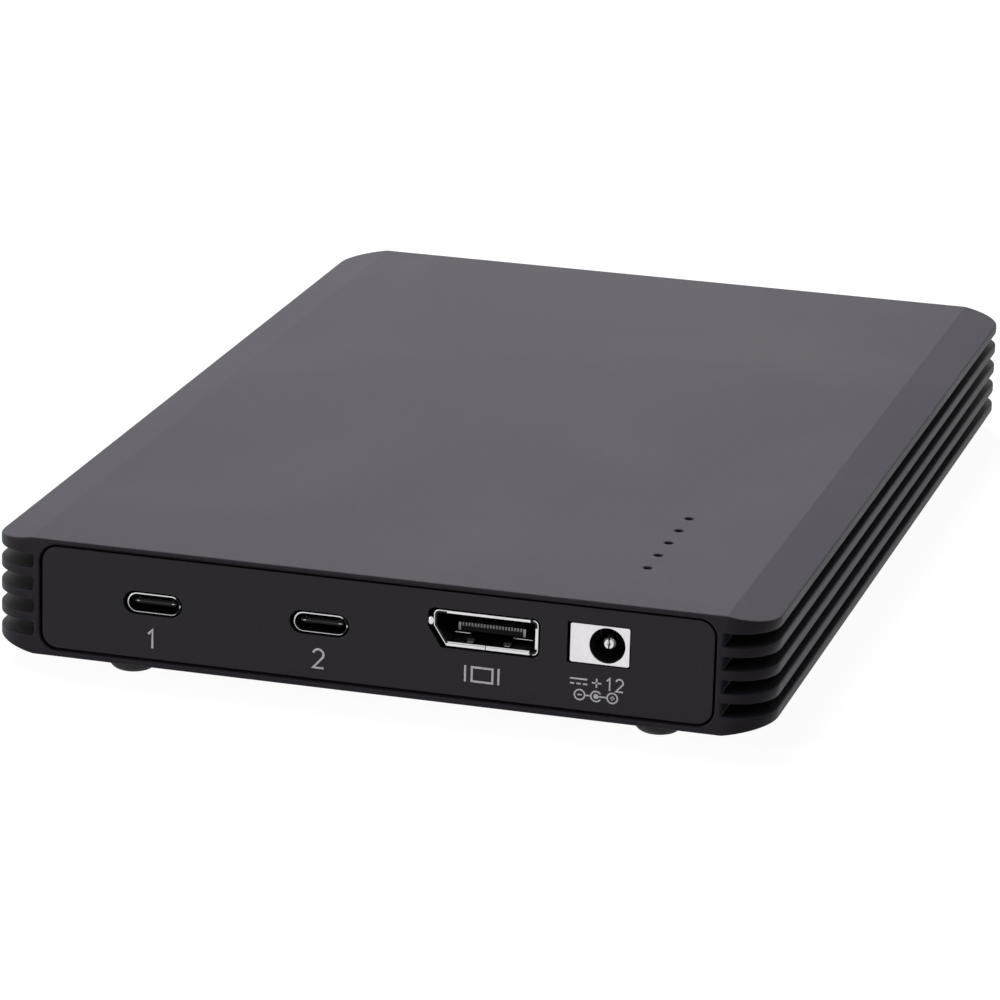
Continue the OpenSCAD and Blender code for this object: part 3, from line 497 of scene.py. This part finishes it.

# %% [markdown]
# ## Satin black: the two end panels
# The panels are flat plates with a smooth satin skin, darker and a little glossier than the
# case. Their only life is a very fine skin, soft cloudy differences in shine, and slightly
# paler cut edges round the openings, which are partly wear and partly a painted highlight.

# %% Finish: panel black
tree, shader = new_finish("panel_black", IOR=1.35, Specular_Tint=(0.97, 0.89, 1.0, 1))
skin = use_group(tree, "moulded skin", Pits_per_metre=5200)
wear_and_highlight = use_group(tree, "edge wear", Radius=0.00018, Breaks_per_metre=1500, Amount=0.8)
marks = use_group(tree, "handling marks", Marks_per_metre=34, Amount=1.0)
colour = blend_colours(tree, skin["Shade"], (0.0105, 0.0084, 0.0122), (0.0145, 0.0118, 0.0165))
# Painted highlight and wear: the pale colour along the edges stands for both.
colour = blend_colours(tree, wear_and_highlight["Mask"], colour, (0.085, 0.080, 0.088))
rough = spread(tree, skin["Shade"], 0, 1, 0.36, 0.44)
feed(tree, shader, colour, math_of(tree, "ADD", rough, times(tree, marks["Mask"], -0.05)))
bump(tree, shader, skin["Height"], 0.00002, 0.35)

# %% [markdown]
# The rear screws are taken to be steel with a black oxide skin. It is thin, so bright metal
# shows where a driver or a hand has rubbed an edge. It is a metal with a dark colour.

# %% Finish: black oxide screws
tree, shader = new_finish("screw_black", Metallic=0.85)
turned = use_group(tree, "blast grain", Grains_per_metre=9000, Coarse_share=0.3)
wear_and_highlight = use_group(tree, "edge wear", Radius=0.00015, Breaks_per_metre=3500, Amount=0.9)
colour = blend_colours(tree, turned["Shade"], (0.018, 0.018, 0.020), (0.040, 0.039, 0.042))
colour = blend_colours(tree, wear_and_highlight["Mask"], colour, (0.22, 0.21, 0.20))
feed(tree, shader, colour, spread(tree, turned["Shade"], 0, 1, 0.34, 0.48))
bump(tree, shader, turned["Height"], 0.00002, 0.4)

# %% [markdown]
# Rubber is matt and nearly black, and it holds on to dust. The marks group gives the dust here,
# because it lies in soft patches all round the foot and not only on what faces up.

# %% Finish: rubber feet
tree, shader = new_finish("foot_rubber", IOR=1.5)
skin = use_group(tree, "moulded skin", Pits_per_metre=2600)
dust = use_group(tree, "handling marks", Marks_per_metre=420, Amount=0.35)
colour = blend_colours(tree, skin["Shade"], (0.010, 0.010, 0.011), (0.019, 0.019, 0.020))
colour = blend_colours(tree, dust["Mask"], colour, (0.07, 0.068, 0.065))
feed(tree, shader, colour, spread(tree, skin["Shade"], 0, 1, 0.68, 0.82))
bump(tree, shader, skin["Height"], 0.00005, 0.5)

# %% [markdown]
# ## Bright metals: socket shells, jack plate, pin and contacts
# The shells are folded from sheet steel and nickel plated. They are the brightest things on the
# front, because they mirror the white table. Plating is never even: fine lines from rolling and
# small differences in shine keep it from looking like a mirror. The same tree serves all bright
# metals here with other colours, lines and roughness.

# %% Finishes: plated metals
# Painted shade: the colour that metal takes deep inside a socket.
INSIDE_SHADE_METAL = (0.055, 0.054, 0.055)
TARNISH_TONE, WORN_TONE = 0.62, 1.12
TARNISH_ROUGH, DULL_ROUGH = 0.08, 0.25


def plated(name, dark, pale, rough, lines, tarnish=0.12, depth=0.000006, shaded=None, dull=INSIDE_SHADE_METAL):
    """A bright metal. An optional mask function makes a mask in the tree, and where it is 1 the metal takes
    a darker colour of painted shade and more roughness.
    """
    tree, shader = new_finish(name, Metallic=1.0)
    rolled = use_group(tree, "drawn lines", Per_metre_X=lines[0], Per_metre_Y=lines[1], Per_metre_Z=lines[2])
    cloud = use_group(tree, "handling marks", Marks_per_metre=520, Amount=1.0)
    wear_and_highlight = use_group(tree, "edge wear", Radius=0.0001, Breaks_per_metre=4000, Amount=0.6)
    colour = blend_colours(tree, rolled["Shade"], dark, pale)
    colour = blend_colours(tree, times(tree, cloud["Mask"], tarnish), colour,
                           tuple(c * TARNISH_TONE for c in dark))
    colour = blend_colours(tree, wear_and_highlight["Mask"], colour, tuple(min(1.0, c * WORN_TONE) for c in pale))
    low, high = rough
    shine = math_of(tree, "ADD", spread(tree, rolled["Shade"], 0, 1, low, high),
                    times(tree, cloud["Mask"], TARNISH_ROUGH))
    if shaded:
        mask = shaded(tree)
        colour = blend_colours(tree, mask, colour, dull)
        shine = math_of(tree, "ADD", shine, times(tree, mask, DULL_ROUGH))
    feed(tree, shader, colour, shine)
    bump(tree, shader, rolled["Height"], depth, 0.6)


def shade_inside(start, end):
    return lambda tree: use_group(tree, "dull inside", From=start * MM, To=end * MM)["Mask"]


plated("socket_steel", (0.62, 0.61, 0.625), (0.76, 0.75, 0.765), (0.16, 0.26), (9000, 300, 9000))
plated("jack_plate", (0.70, 0.665, 0.70), (0.78, 0.74, 0.78), (0.34, 0.46), (2500, 2500, 350))
# Painted shade darkens the jack's metal from 2.5 mm behind the panel's face inward.
plated("jack_metal", (0.62, 0.61, 0.60), (0.76, 0.75, 0.74), (0.20, 0.32), (900, 9000, 9000),
       shaded=shade_inside(2.5, 4.0))
plated("contact_metal", (0.27, 0.265, 0.265), (0.40, 0.392, 0.39), (0.30, 0.42), (9000, 500, 9000))
plated("socket_tin", (0.17, 0.167, 0.17), (0.26, 0.256, 0.26), (0.34, 0.46), (9000, 500, 9000))
plated("bare_aluminium", (0.56, 0.56, 0.57), (0.72, 0.72, 0.73), (0.30, 0.42), (260, 5200, 5200), 0.2)
plated("capacitor_can", (0.60, 0.60, 0.61), (0.74, 0.74, 0.75), (0.24, 0.34), (4000, 4000, 260))
plated("standoff_brass", (0.55, 0.40, 0.16), (0.72, 0.55, 0.25), (0.22, 0.34), (500, 500, 9000))
plated("screw_steel", (0.46, 0.46, 0.47), (0.62, 0.62, 0.63), (0.26, 0.38), (3000, 3000, 3000))
print("metals:", sorted(finishes))

# %% [markdown]
# The video socket's shell is folded from sheet. In the photograph only a thin outer line of its
# front edge is bright, and the rest lies in shade, so the rest is given painted shade. The distance
# from the outline tells the two apart, and the straight line of the one cut corner is added to
# it. A narrow gap of painted shade is kept at the right, between the lips.

# %% Finish: the video socket's shell
VIDEO_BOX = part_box("video_socket_shell")
VIDEO_W, VIDEO_H, VIDEO_R, VIDEO_CUT = 17.1, 5.85, 0.9, (2.1, 3.2)
LIP_GAP_AT = 7.45
VIDEO_X, VIDEO_Z, VIDEO_Y = 18.5, VIDEO_BOX[1].z / MM - VIDEO_H / 2, VIDEO_BOX[0].y / MM


def video_edge_shade(tree):
    """1 where shade is painted: on the inner part of the shell's front edge, in a narrow gap at the right,
    and inside the shell.
    """
    parts = object_axes(tree)
    x = math_of(tree, "SUBTRACT", parts["X"], VIDEO_X * MM)
    z = math_of(tree, "SUBTRACT", parts["Z"], VIDEO_Z * MM)
    inward = use_group(tree, "inward from outline", Across=x, Up=z, Half_width=VIDEO_W / 2 * MM,
                       Half_height=VIDEO_H / 2 * MM, Radius=VIDEO_R * MM)["Distance"]
    slope = math.hypot(*VIDEO_CUT)
    from_left = math_of(tree, "ADD", x, VIDEO_W / 2 * MM)
    over_cut = math_of(tree, "ADD", z, (VIDEO_H / 2 - VIDEO_CUT[1]) * MM)
    past_cut = math_of(tree, "ADD", times(tree, from_left, VIDEO_CUT[1] / slope),
                       times(tree, over_cut, VIDEO_CUT[0] / slope))
    inward = math_of(tree, "MINIMUM", inward, past_cut)
    shaded_part = spread(tree, inward, 0.15 * MM, 0.21 * MM)
    past_lip = math_of(tree, "ABSOLUTE", math_of(tree, "SUBTRACT", x, LIP_GAP_AT * MM))
    shaded_part = math_of(tree, "MAXIMUM", shaded_part, spread(tree, past_lip, 0.26 * MM, 0.2 * MM))
    return math_of(tree, "MAXIMUM", shaded_part, shade_inside(0.5, 1.2)(tree))


# Painted shade: the dark colour on the inner part of the edge, in the gap and inside.
plated("video_shell_steel", (0.58, 0.57, 0.585), (0.72, 0.71, 0.725), (0.16, 0.26), (9000, 300, 9000),
       shaded=video_edge_shade, dull=(0.022, 0.0215, 0.022))

# %% [markdown]
# The data sockets' shells have a bright line round their front edge too. In the photograph it is
# narrower below and mostly missing at the right end, where the edge lies in shade, so the rest of
# the edge is painted shade. This is a guess that follows the picture.

# %% Finish: the data sockets' shells
DATA_W, DATA_H, DATA_X = 8.94, 3.26, (-36.55, -8.65)
DATA_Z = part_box("data_socket_shell_left")[1].z / MM - DATA_H / 2
LINE_BELOW, LINE_ABOVE = 0.11 * MM, 0.24 * MM
SHADED_END = (3.5 * MM, 3.75 * MM)


def from_socket_middle(tree):
    """X measured from the middle of the nearer data socket."""
    x = object_axes(tree)["X"]
    pitch = (DATA_X[1] - DATA_X[0]) * MM
    start = DATA_X[0] * MM - pitch / 2
    wrapped = math_of(tree, "FLOORED_MODULO", math_of(tree, "SUBTRACT", x, start), pitch)
    return math_of(tree, "SUBTRACT", wrapped, pitch / 2)


def data_edge_shade(tree):
    """1 where shade is painted: on the inner part of a data shell's front edge, on its right end and inside
    it.
    """
    x = from_socket_middle(tree)
    z = math_of(tree, "SUBTRACT", object_axes(tree)["Z"], DATA_Z * MM)
    inward = use_group(tree, "inward from outline", Across=x, Up=z, Half_width=DATA_W / 2 * MM,
                       Half_height=DATA_H / 2 * MM, Radius=DATA_H / 2 * MM)["Distance"]
    line = spread(tree, z, -0.5 * MM, 1.0 * MM, LINE_BELOW, LINE_ABOVE)
    shaded_part = spread(tree, math_of(tree, "SUBTRACT", inward, line), 0.0, 0.04 * MM)
    end_shade = times(tree, spread(tree, x, *SHADED_END),
                     spread(tree, math_of(tree, "ABSOLUTE", z), 0.16 * MM, 0.24 * MM))
    edge_shade = math_of(tree, "MAXIMUM", shaded_part, end_shade)
    return math_of(tree, "MAXIMUM", edge_shade, shade_inside(0.5, 1.2)(tree))


# Painted shade: the dark colour on the edge's inner part, its right end and inside.
plated("data_shell_steel", (0.56, 0.55, 0.565), (0.70, 0.69, 0.705), (0.16, 0.26), (9000, 300, 9000),
       shaded=data_edge_shade, dull=(0.02, 0.0195, 0.02))

# %% [markdown]
# The data sockets' contacts are hardly seen: only the strip in the tongue's front edge shows as
# a dim line, with a brighter spot near each end. The dim colour is painted shade, put on all the
# contact metal but the two spots.

# %% Finish: the data sockets' contacts
LATCH_AT = 2.95


def away_from_latches(tree):
    """1 everywhere but on the two spots."""
    off = math_of(tree, "ABSOLUTE", from_socket_middle(tree))
    from_latch = math_of(tree, "ABSOLUTE", math_of(tree, "SUBTRACT", off, LATCH_AT * MM))
    return spread(tree, from_latch, 0.18 * MM, 0.25 * MM)


# Painted shade: the contacts are darkened everywhere but at the two spots.
plated("data_contact_metal", (0.42, 0.41, 0.41), (0.55, 0.54, 0.54), (0.30, 0.42), (9000, 500, 9000),
       shaded=away_from_latches)

# %% [markdown]
# ## Moulded blacks: socket plastic, chips and ferrite
# These are all black or dark grey moulded bodies that differ in how coarse their skin is and in
# how they shine, so they share one tree as the metals do.

# %% Finishes: moulded bodies
def moulded(name, dark, pale, rough, pits, depth, worn=(0.05, 0.05, 0.052), ior=1.5):
    tree, shader = new_finish(name, IOR=ior)
    skin = use_group(tree, "moulded skin", Pits_per_metre=pits)
    wear_and_highlight = use_group(tree, "edge wear", Radius=0.00012, Breaks_per_metre=2500, Amount=0.5)
    colour = blend_colours(tree, wear_and_highlight["Mask"], blend_colours(tree, skin["Shade"], dark, pale), worn)
    feed(tree, shader, colour, spread(tree, skin["Shade"], 0, 1, *rough))
    bump(tree, shader, skin["Height"], depth, 0.6)


moulded("socket_plastic", (0.003, 0.003, 0.0034), (0.006, 0.006, 0.0066), (0.62, 0.74), 6000, 0.00002,
        (0.015, 0.015, 0.015), 1.3)
moulded("chip_black", (0.011, 0.011, 0.012), (0.021, 0.021, 0.023), (0.52, 0.66), 9000, 0.00002)
moulded("coil_ferrite", (0.070, 0.070, 0.076), (0.115, 0.114, 0.120), (0.60, 0.78), 3200, 0.00004,
        (0.16, 0.16, 0.165))
moulded("thermal_pad", (0.30, 0.33, 0.37), (0.38, 0.41, 0.45), (0.74, 0.86), 1500, 0.00006,
        (0.42, 0.45, 0.49))
moulded("lamp_lens", (0.62, 0.60, 0.46), (0.74, 0.72, 0.58), (0.20, 0.30), 3000, 0.00001, (0.8, 0.78, 0.66))

# %% [markdown]
# The light guide is smoked clear plastic that carries each lamp's light up to its pinhole. With
# the lamps off the pinholes are nearly black, because little light comes back out of it.

# %% Finish: smoked guide
tree, shader = new_finish("guide_clear", IOR=1.49, Transmission_Weight=0.85, Metallic=0.0)
haze = use_group(tree, "handling marks", Marks_per_metre=900, Amount=1.0)
colour = blend_colours(tree, haze["Mask"], (0.10, 0.105, 0.115), (0.18, 0.185, 0.20))
feed(tree, shader, colour, spread(tree, haze["Mask"], 0, 1, 0.12, 0.26))

# %% [markdown]
# ## Circuit board
# A board is glass cloth under a thin green mask. Copper shows through the mask as slightly
# paler tracks, and plated holes sit where tracks end. Square cells with random steps make the
# tracks, and the middles of scattered cells make the holes.

# %% Finish: circuit board
tree, shader = new_finish("circuit_board", IOR=1.5)
where = object_place(tree)
skin = use_group(tree, "moulded skin", Pits_per_metre=2400)
steps = wire(tree, "ShaderNodeTexVoronoi", {"Vector": where, "Scale": 420.0, "Randomness": 0.35},
             distance="MANHATTAN")
tracks = spread(tree, math_of(tree, "PINGPONG", steps.outputs["Distance"], 0.11), 0.060, 0.072)
dots = wire(tree, "ShaderNodeTexVoronoi", {"Vector": where, "Scale": 260.0, "Randomness": 0.9})
rim = times(tree, spread(tree, dots.outputs["Distance"], 0.11, 0.10),
            spread(tree, dots.outputs["Distance"], 0.045, 0.055))
colour = blend_colours(tree, skin["Shade"], (0.008, 0.060, 0.033), (0.012, 0.078, 0.044))
colour = blend_colours(tree, tracks, colour, (0.020, 0.125, 0.066))
colour = blend_colours(tree, rim, colour, (0.62, 0.52, 0.30))
feed(tree, shader, colour, spread(tree, tracks, 0, 1, 0.34, 0.26))
tree.links.new(rim, shader.inputs["Metallic"])
bump(tree, shader, math_of(tree, "ADD", tracks, rim), 0.00003, 0.5)
print("finishes:", len(finishes))

# %% [markdown]
# ## Putting the finishes on
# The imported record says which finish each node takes, so the finishes are put on by name and
# nothing is left out. Each one replaces the plain colour in the node's material slot.

# %% Finishes onto the nodes
slot_of = {part["node"]: part["material_slot"] for part in frame["record"]["subparts"]}
special = {
    "video_socket_shell": "video_shell_steel", "data_socket_contacts": "data_contact_metal",
    "data_socket_shell_left": "data_shell_steel", "data_socket_shell_right": "data_shell_steel",
}
for name, piece in nodes.items():
    for held in piece.material_slots:
        held.material = finishes[special.get(name, slot_of[name])]
print("nodes per finish:", {f: sum(s == f for s in slot_of.values()) for f in finishes})

# %% [markdown]
# ## Rounding the edges
# No real edge is perfectly sharp. A narrow rounding catches a thin line of light, and that line
# is what makes a machined part look machined. The modifiers leave the mesh itself alone: one
# joins the doubled points, one merges flat triangles, and one rounds what is left.

# %% Edge rounding by modifiers
JOIN_CLOSER, FLAT_WITHIN, SHARP_FROM = 1e-6, math.radians(0.4), math.radians(35)


def round_edges(name, width):
    piece = nodes[name]
    piece.modifiers.new("join", "WELD").merge_threshold = JOIN_CLOSER
    flat = piece.modifiers.new("merge_flat", "DECIMATE")
    flat.decimate_type = "DISSOLVE"
    flat.angle_limit = FLAT_WITHIN
    soft = piece.modifiers.new("round", "BEVEL")
    soft.width = width * MM
    soft.segments = 3
    soft.limit_method = "ANGLE"
    soft.angle_limit = SHARP_FROM
    soft.use_clamp_overlap = False
    soft.harden_normals = True


EDGE_MM = {
    "case_shell": 0.25, "front_panel": 0.18, "rear_panel": 0.18, "rear_panel_screws": 0.08,
    "video_socket_shell": 0.07, "data_socket_shell_left": 0.06, "data_socket_shell_right": 0.06,
    "power_jack_face": 0.06, "power_jack_body": 0.08,
}
for name, width in EDGE_MM.items():
    round_edges(name, width)
print("rounded:", len(EDGE_MM), "nodes")

# %% [markdown]
# ## Printed marks
# The marks under the sockets are pad printed in pale grey ink. They could be an image on the
# panel, but a thin raised film of ink is closer to the real thing and stays sharp at any size.
# Each mark is drawn as strokes on the panel's face: a stroke is a ribbon of even width along a
# line, closed or open, and the whole mark is one mesh. One helper puts every new mesh into the
# scene: it takes points in millimetres, rides on the root and takes the slot of a CAD finish.

# %% Finish for ink, and helpers for new pieces
INK_MM = 0.02
tree, shader = new_finish("marking_ink", Metallic=0.7)
skin = use_group(tree, "moulded skin", Pits_per_metre=9000)
gaps = use_group(tree, "handling marks", Marks_per_metre=2600, Amount=0.5)
colour = blend_colours(tree, skin["Shade"], (0.42, 0.41, 0.43), (0.54, 0.53, 0.55))
colour = blend_colours(tree, gaps["Mask"], colour, (0.26, 0.255, 0.27))
feed(tree, shader, colour, spread(tree, skin["Shade"], 0, 1, 0.5, 0.62))
bump(tree, shader, skin["Height"], 0.00001, 0.5)


def new_mesh(name, points, faces):
    mesh = bpy.data.meshes.new(name)
    mesh.from_pydata([tuple(c * MM for c in point) for point in points], [], faces)
    return mesh


def add_piece(mesh, material):
    mesh.materials.append(finishes[material])
    piece = bpy.data.objects.new(mesh.name, mesh)
    scene.collection.objects.link(piece)
    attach(piece, "root")
    return piece


def ribbon(points, width, closed=False):
    """Left and right edge points of a stroke of even width along a line in X and Z."""
    count, sides = len(points), []
    for i, here in enumerate(points):
        before = points[i - 1] if closed or i else None
        after = points[(i + 1) % count] if closed or i < count - 1 else None
        steps = [(Vector(b) - Vector(a)).normalized() for a, b in ((before, here), (here, after)) if a and b]
        along = sum(steps, Vector((0, 0))).normalized()
        across = Vector((-along.y, along.x))
        reach = width / 2 / max(0.5, across.dot(Vector((-steps[0].y, steps[0].x))))
        sides.append((Vector(here) + across * reach, Vector(here) - across * reach))
    return sides


def print_mark(name, strokes, width, discs=()):
    """One raised ink film from strokes [(points, closed)] and filled discs [(x, z, radius)]."""
    verts, faces = [], []

    def film(outline_pairs, closed):
        start = len(verts)
        for left, right_side in outline_pairs:
            for depth in (0, INK_MM):
                verts.append((left.x, PANEL_FACE / MM - depth, left.y))
                verts.append((right_side.x, PANEL_FACE / MM - depth, right_side.y))
        count = len(outline_pairs)
        for i in range(count if closed else count - 1):
            a, b = start + 4 * i, start + 4 * ((i + 1) % count)
            faces.extend([(a + 2, a + 3, b + 3, b + 2), (a, a + 2, b + 2, b),
                          (a + 3, a + 1, b + 1, b + 3), (a + 1, a, b, b + 1)])
        if not closed:
            last = start + 4 * (count - 1)
            faces.extend([(start, start + 1, start + 3, start + 2), (last + 2, last + 3, last + 1, last)])

    for points, closed in strokes:
        film(ribbon(points, width, closed), closed)
    for x, z, radius in discs:
        ring = arc(x, z, radius / 2, 0, 360)[:-1]
        film(ribbon(ring, radius - 0.01, True), True)
    mesh = new_mesh(name, verts, faces)
    mesh.validate()
    return add_piece(mesh, "marking_ink")


def arc(x, z, radius, start, end, step=12):
    """Points on an arc in X and Z, in degrees from the right, anticlockwise."""
    count = max(2, round(abs(end - start) / step) + 1)
    angles = [math.radians(start + (end - start) * i / (count - 1)) for i in range(count)]
    return [(x + radius * math.cos(a), z + radius * math.sin(a)) for a in angles]


# %% [markdown]
# The two data sockets carry plain numbers. A digit is drawn in a cell one unit high, and the
# cell is then scaled and moved to its place, which keeps the strokes of all digits alike.

# %% Digits and the marks
def digit(kind, x, z, height):
    """Strokes of a 1 or a 2, centred on x, standing on z."""
    if kind == 1:
        line = [(-0.17, 0.76), (0.06, 1.0), (0.06, 0.0)]
    else:
        line = arc(0, 0.72, 0.28, 165, -32) + [(-0.27, 0.0), (0.29, 0.0)]
    return ([(x + a * height, z + b * height) for a, b in line], False)


def bar(x0, z0, x1, z1):
    return ([(x0, z0), (x1, z1)], False)


LIFT = FOOT_HEIGHT / MM
marks = [
    print_mark("data_number_1", [digit(1, -36.85, 3.25 + LIFT, 3.1)], 0.36),
    print_mark("data_number_2", [digit(2, -8.85, 3.3 + LIFT, 3.1)], 0.36),
]
frame_line = [(16.47, 4.12), (19.86, 4.12), (19.86, 6.46), (16.47, 6.46)]
marks.append(print_mark("display_mark", [
    ([(x, z + LIFT) for x, z in frame_line], True),
    bar(15.38, 3.95 + LIFT, 15.38, 6.66 + LIFT), bar(20.84, 3.95 + LIFT, 20.84, 6.66 + LIFT),
], 0.34))
marks.append(print_mark("rating_mark", [
    bar(32.45, 6.62 + LIFT, 35.25, 6.62 + LIFT),
    bar(32.45, 5.82 + LIFT, 33.15, 5.82 + LIFT), bar(33.5, 5.82 + LIFT, 34.2, 5.82 + LIFT),
    bar(34.55, 5.82 + LIFT, 35.25, 5.82 + LIFT),
    bar(36.0, 6.22 + LIFT, 37.5, 6.22 + LIFT), bar(36.75, 5.47 + LIFT, 36.75, 6.97 + LIFT),
    digit(1, 38.75, 5.2 + LIFT, 2.05), digit(2, 40.45, 5.2 + LIFT, 2.05),
], 0.27))
circle_x, circle_z, circle_r = (34.06, 36.72, 39.36), 4.02 + LIFT, 0.83
marks.append(print_mark("polarity_mark", [
    (arc(circle_x[0], circle_z, circle_r, 0, 360)[:-1], True),
    (arc(circle_x[1], circle_z, circle_r, 32, 328), False),
    (arc(circle_x[2], circle_z, circle_r, 0, 360)[:-1], True),
    bar(circle_x[0] - 0.36, circle_z, circle_x[0] + 0.36, circle_z),
    bar(circle_x[2] - 0.36, circle_z, circle_x[2] + 0.36, circle_z),
    bar(circle_x[2], circle_z - 0.36, circle_x[2], circle_z + 0.36),
    bar(circle_x[0] + circle_r + 0.1, circle_z, circle_x[1] - circle_r - 0.1, circle_z),
    bar(circle_x[1] + 0.4, circle_z, circle_x[2] - circle_r - 0.1, circle_z),
], 0.24, discs=[(circle_x[1], circle_z, 0.42)]))
print("marks:", [m.name for m in marks])

# %% [markdown]
# ## Small sheet-metal details of the video socket
# The sheet is folded so that a short lip stands out along the top, the bottom and the right of
# the opening, and each lip's inner side is sloped to lead the plug in. The lips end before the
# corners. They are bars of one cross-section, so each is a profile carried along a line. The
# contacts turn down over the blade's front edge, which gives the small teeth seen inside.

# %% Bars from a profile
def turn_outward(mesh, join=False):
    """Turns every face outward, and with join first merges points that fall together."""
    bm = bmesh.new()
    bm.from_mesh(mesh)
    if join:
        bmesh.ops.remove_doubles(bm, verts=bm.verts, dist=JOIN_CLOSER)
    bmesh.ops.recalc_face_normals(bm, faces=bm.faces)
    bm.to_mesh(mesh)
    bm.free()


def bars_piece(name, bars, material, rounding):
    """Closed bars: each is (profile, place). A profile lists (depth, rise), place gives the point."""
    verts, faces = [], []
    for profile, place in bars:
        first, count = len(verts), len(profile)
        for end in (0, 1):
            verts.extend(place(depth, rise, end) for depth, rise in profile)
        for i in range(count):
            j = (i + 1) % count
            faces.append((first + i, first + j, first + count + j, first + count + i))
        faces.append(tuple(first + i for i in reversed(range(count))))
        faces.append(tuple(first + count + i for i in range(count)))
    mesh = new_mesh(name, verts, faces)
    turn_outward(mesh)
    piece = add_piece(mesh, material)
    soft = piece.modifiers.new("round", "BEVEL")
    soft.width = rounding * MM
    soft.segments = 2
    return piece


# %% [markdown]
# The lips' profiles differ a little from side to side, as in the photograph, and the bottom one is
# parted by the shell's seam. The contacts' noses repeat one small profile at an even pitch, so a
# loop places them. The numbers are millimetres from the middle of the socket.

# %% Lips and contact noses
LIP_STAND = 0.04
SEAM = 0.12


def lip(wide, slope):
    """Profile of a lip that covers `wide` of the wall: a flat front and a sloped inner side."""
    return [(0.01, 0.03), (-LIP_STAND, 0.03), (-LIP_STAND, wide - slope),
            (slope - LIP_STAND, wide), (slope, wide), (0.01, wide - slope)]


def along_x(x0, x1, z, turned):
    return lambda depth, rise, end: (
        VIDEO_X + (x1 if end else x0), VIDEO_Y + depth, VIDEO_Z + z + turned * rise)


def along_z(z0, z1, x, turned):
    return lambda depth, rise, end: (
        VIDEO_X + x + turned * rise, VIDEO_Y + depth, VIDEO_Z + (z1 if end else z0))


lips = bars_piece("video_socket_lips", [
    (lip(0.50, 0.08), along_x(-6.4, 7.2, VIDEO_H / 2, -1)),
    (lip(0.66, 0.25), along_x(-6.4, -SEAM / 2, -VIDEO_H / 2, 1)),
    (lip(0.66, 0.25), along_x(SEAM / 2, 7.1, -VIDEO_H / 2, 1)),
    (lip(0.56, 0.08), along_z(-1.8, 1.6, VIDEO_W / 2, -1)),
], "socket_steel", 0.03)

BLADE_W, BLADE_EDGE, NOSE_COUNT, NOSE_DROP, NOSE_THICK = 11.0, 0.5, 20, 0.58, 0.06
BLADE_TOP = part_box("video_socket_contacts")[1].z / MM
BLADE_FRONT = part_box("video_socket_insert")[0].y / MM
NOSE_SHARE = 0.55
nose_pitch = (BLADE_W - 2 * BLADE_EDGE) / NOSE_COUNT
nose = [(0.0, 0.0), (-NOSE_THICK, 0.0), (-NOSE_THICK, NOSE_DROP), (0.0, NOSE_DROP)]


def nose_at(i):
    centre = VIDEO_X + (i - (NOSE_COUNT - 1) / 2) * nose_pitch
    half_w = nose_pitch * NOSE_SHARE / 2
    return lambda depth, rise, end: (
        centre + (half_w if end else -half_w), BLADE_FRONT + depth, BLADE_TOP - rise)


noses = bars_piece("video_contact_noses", [(nose, nose_at(i)) for i in range(NOSE_COUNT)],
                   "socket_tin", 0.02)
print("video socket:", [o.name for o in (lips, noses)])

# %% [markdown]
# Two springs rise from the socket's floor, and their rolled tips are what a plug polishes. The
# two ground strips under the blade have such a tip too. All four are short bars of one round
# cross-section. At the left a round stop stands beside the shell, and its head is a low dome.

# %% Spring tips and the stop's head
SPRING_AT, SPRING_FACE, SPRING_RISE = 3.0, 1.9, 0.36
GROUND_FACE, GROUND_Z = 3.8, -1.76
STOP_AT, STOP_R, STOP_TALL = (-VIDEO_W / 2 - 0.36, VIDEO_H / 6), 0.46, 0.24


def rolled_bar(x0, x1, face, z, deep, high):
    """Profile and place of a small rolled bar along X whose round front faces the opening."""
    turns = [i * math.pi / 4 for i in range(8)]
    return [(-deep * math.cos(a), high * math.sin(a)) for a in turns], lambda depth, rise, end: (
        VIDEO_X + (x1 if end else x0), VIDEO_Y + face + depth, VIDEO_Z + z + rise)


tips = bars_piece("video_spring_tips", [
    rolled_bar(x - 0.42, x + 0.42, SPRING_FACE, SPRING_RISE - VIDEO_H / 2, 0.10, 0.13)
    for x in (-SPRING_AT, SPRING_AT)], "socket_steel", 0.03)
grounds = bars_piece("video_ground_tips", [
    rolled_bar(x0, x1, GROUND_FACE, GROUND_Z, 0.08, 0.10)
    for x0, x1 in ((-6.1, -3.6), (4.2, 6.7))], "socket_steel", 0.03)


def dome(name, x, z, radius, tall, face, material, rings=5, around=24):
    """A low dome that faces forward, taller than wide by `tall` on each side of its middle."""
    verts, faces = [], []
    for ring in range(rings + 1):
        turn = ring / rings * math.pi / 2
        for i in range(around):
            a = 2 * math.pi * i / around
            drop = tall if math.sin(a) >= 0 else -tall
            verts.append((x + radius * math.cos(turn) * math.cos(a), face - radius * 0.5 * math.sin(turn),
                          z + radius * math.cos(turn) * math.sin(a) + drop * math.cos(turn)))
        for i in range(around):
            if ring:
                a, b = (ring - 1) * around, ring * around
                faces.append((a + i, a + (i + 1) % around, b + (i + 1) % around, b + i))
    faces.append(tuple(reversed(range(around))))
    mesh = new_mesh(name, verts, faces)
    turn_outward(mesh, join=True)
    mesh.shade_smooth()
    return add_piece(mesh, material)


head = dome("video_stop_head", VIDEO_X + STOP_AT[0] - 0.1, VIDEO_Z + STOP_AT[1], STOP_R, STOP_TALL,
            VIDEO_Y + 0.02, "socket_steel")
print("added:", [o.name for o in (tips, grounds, head)])
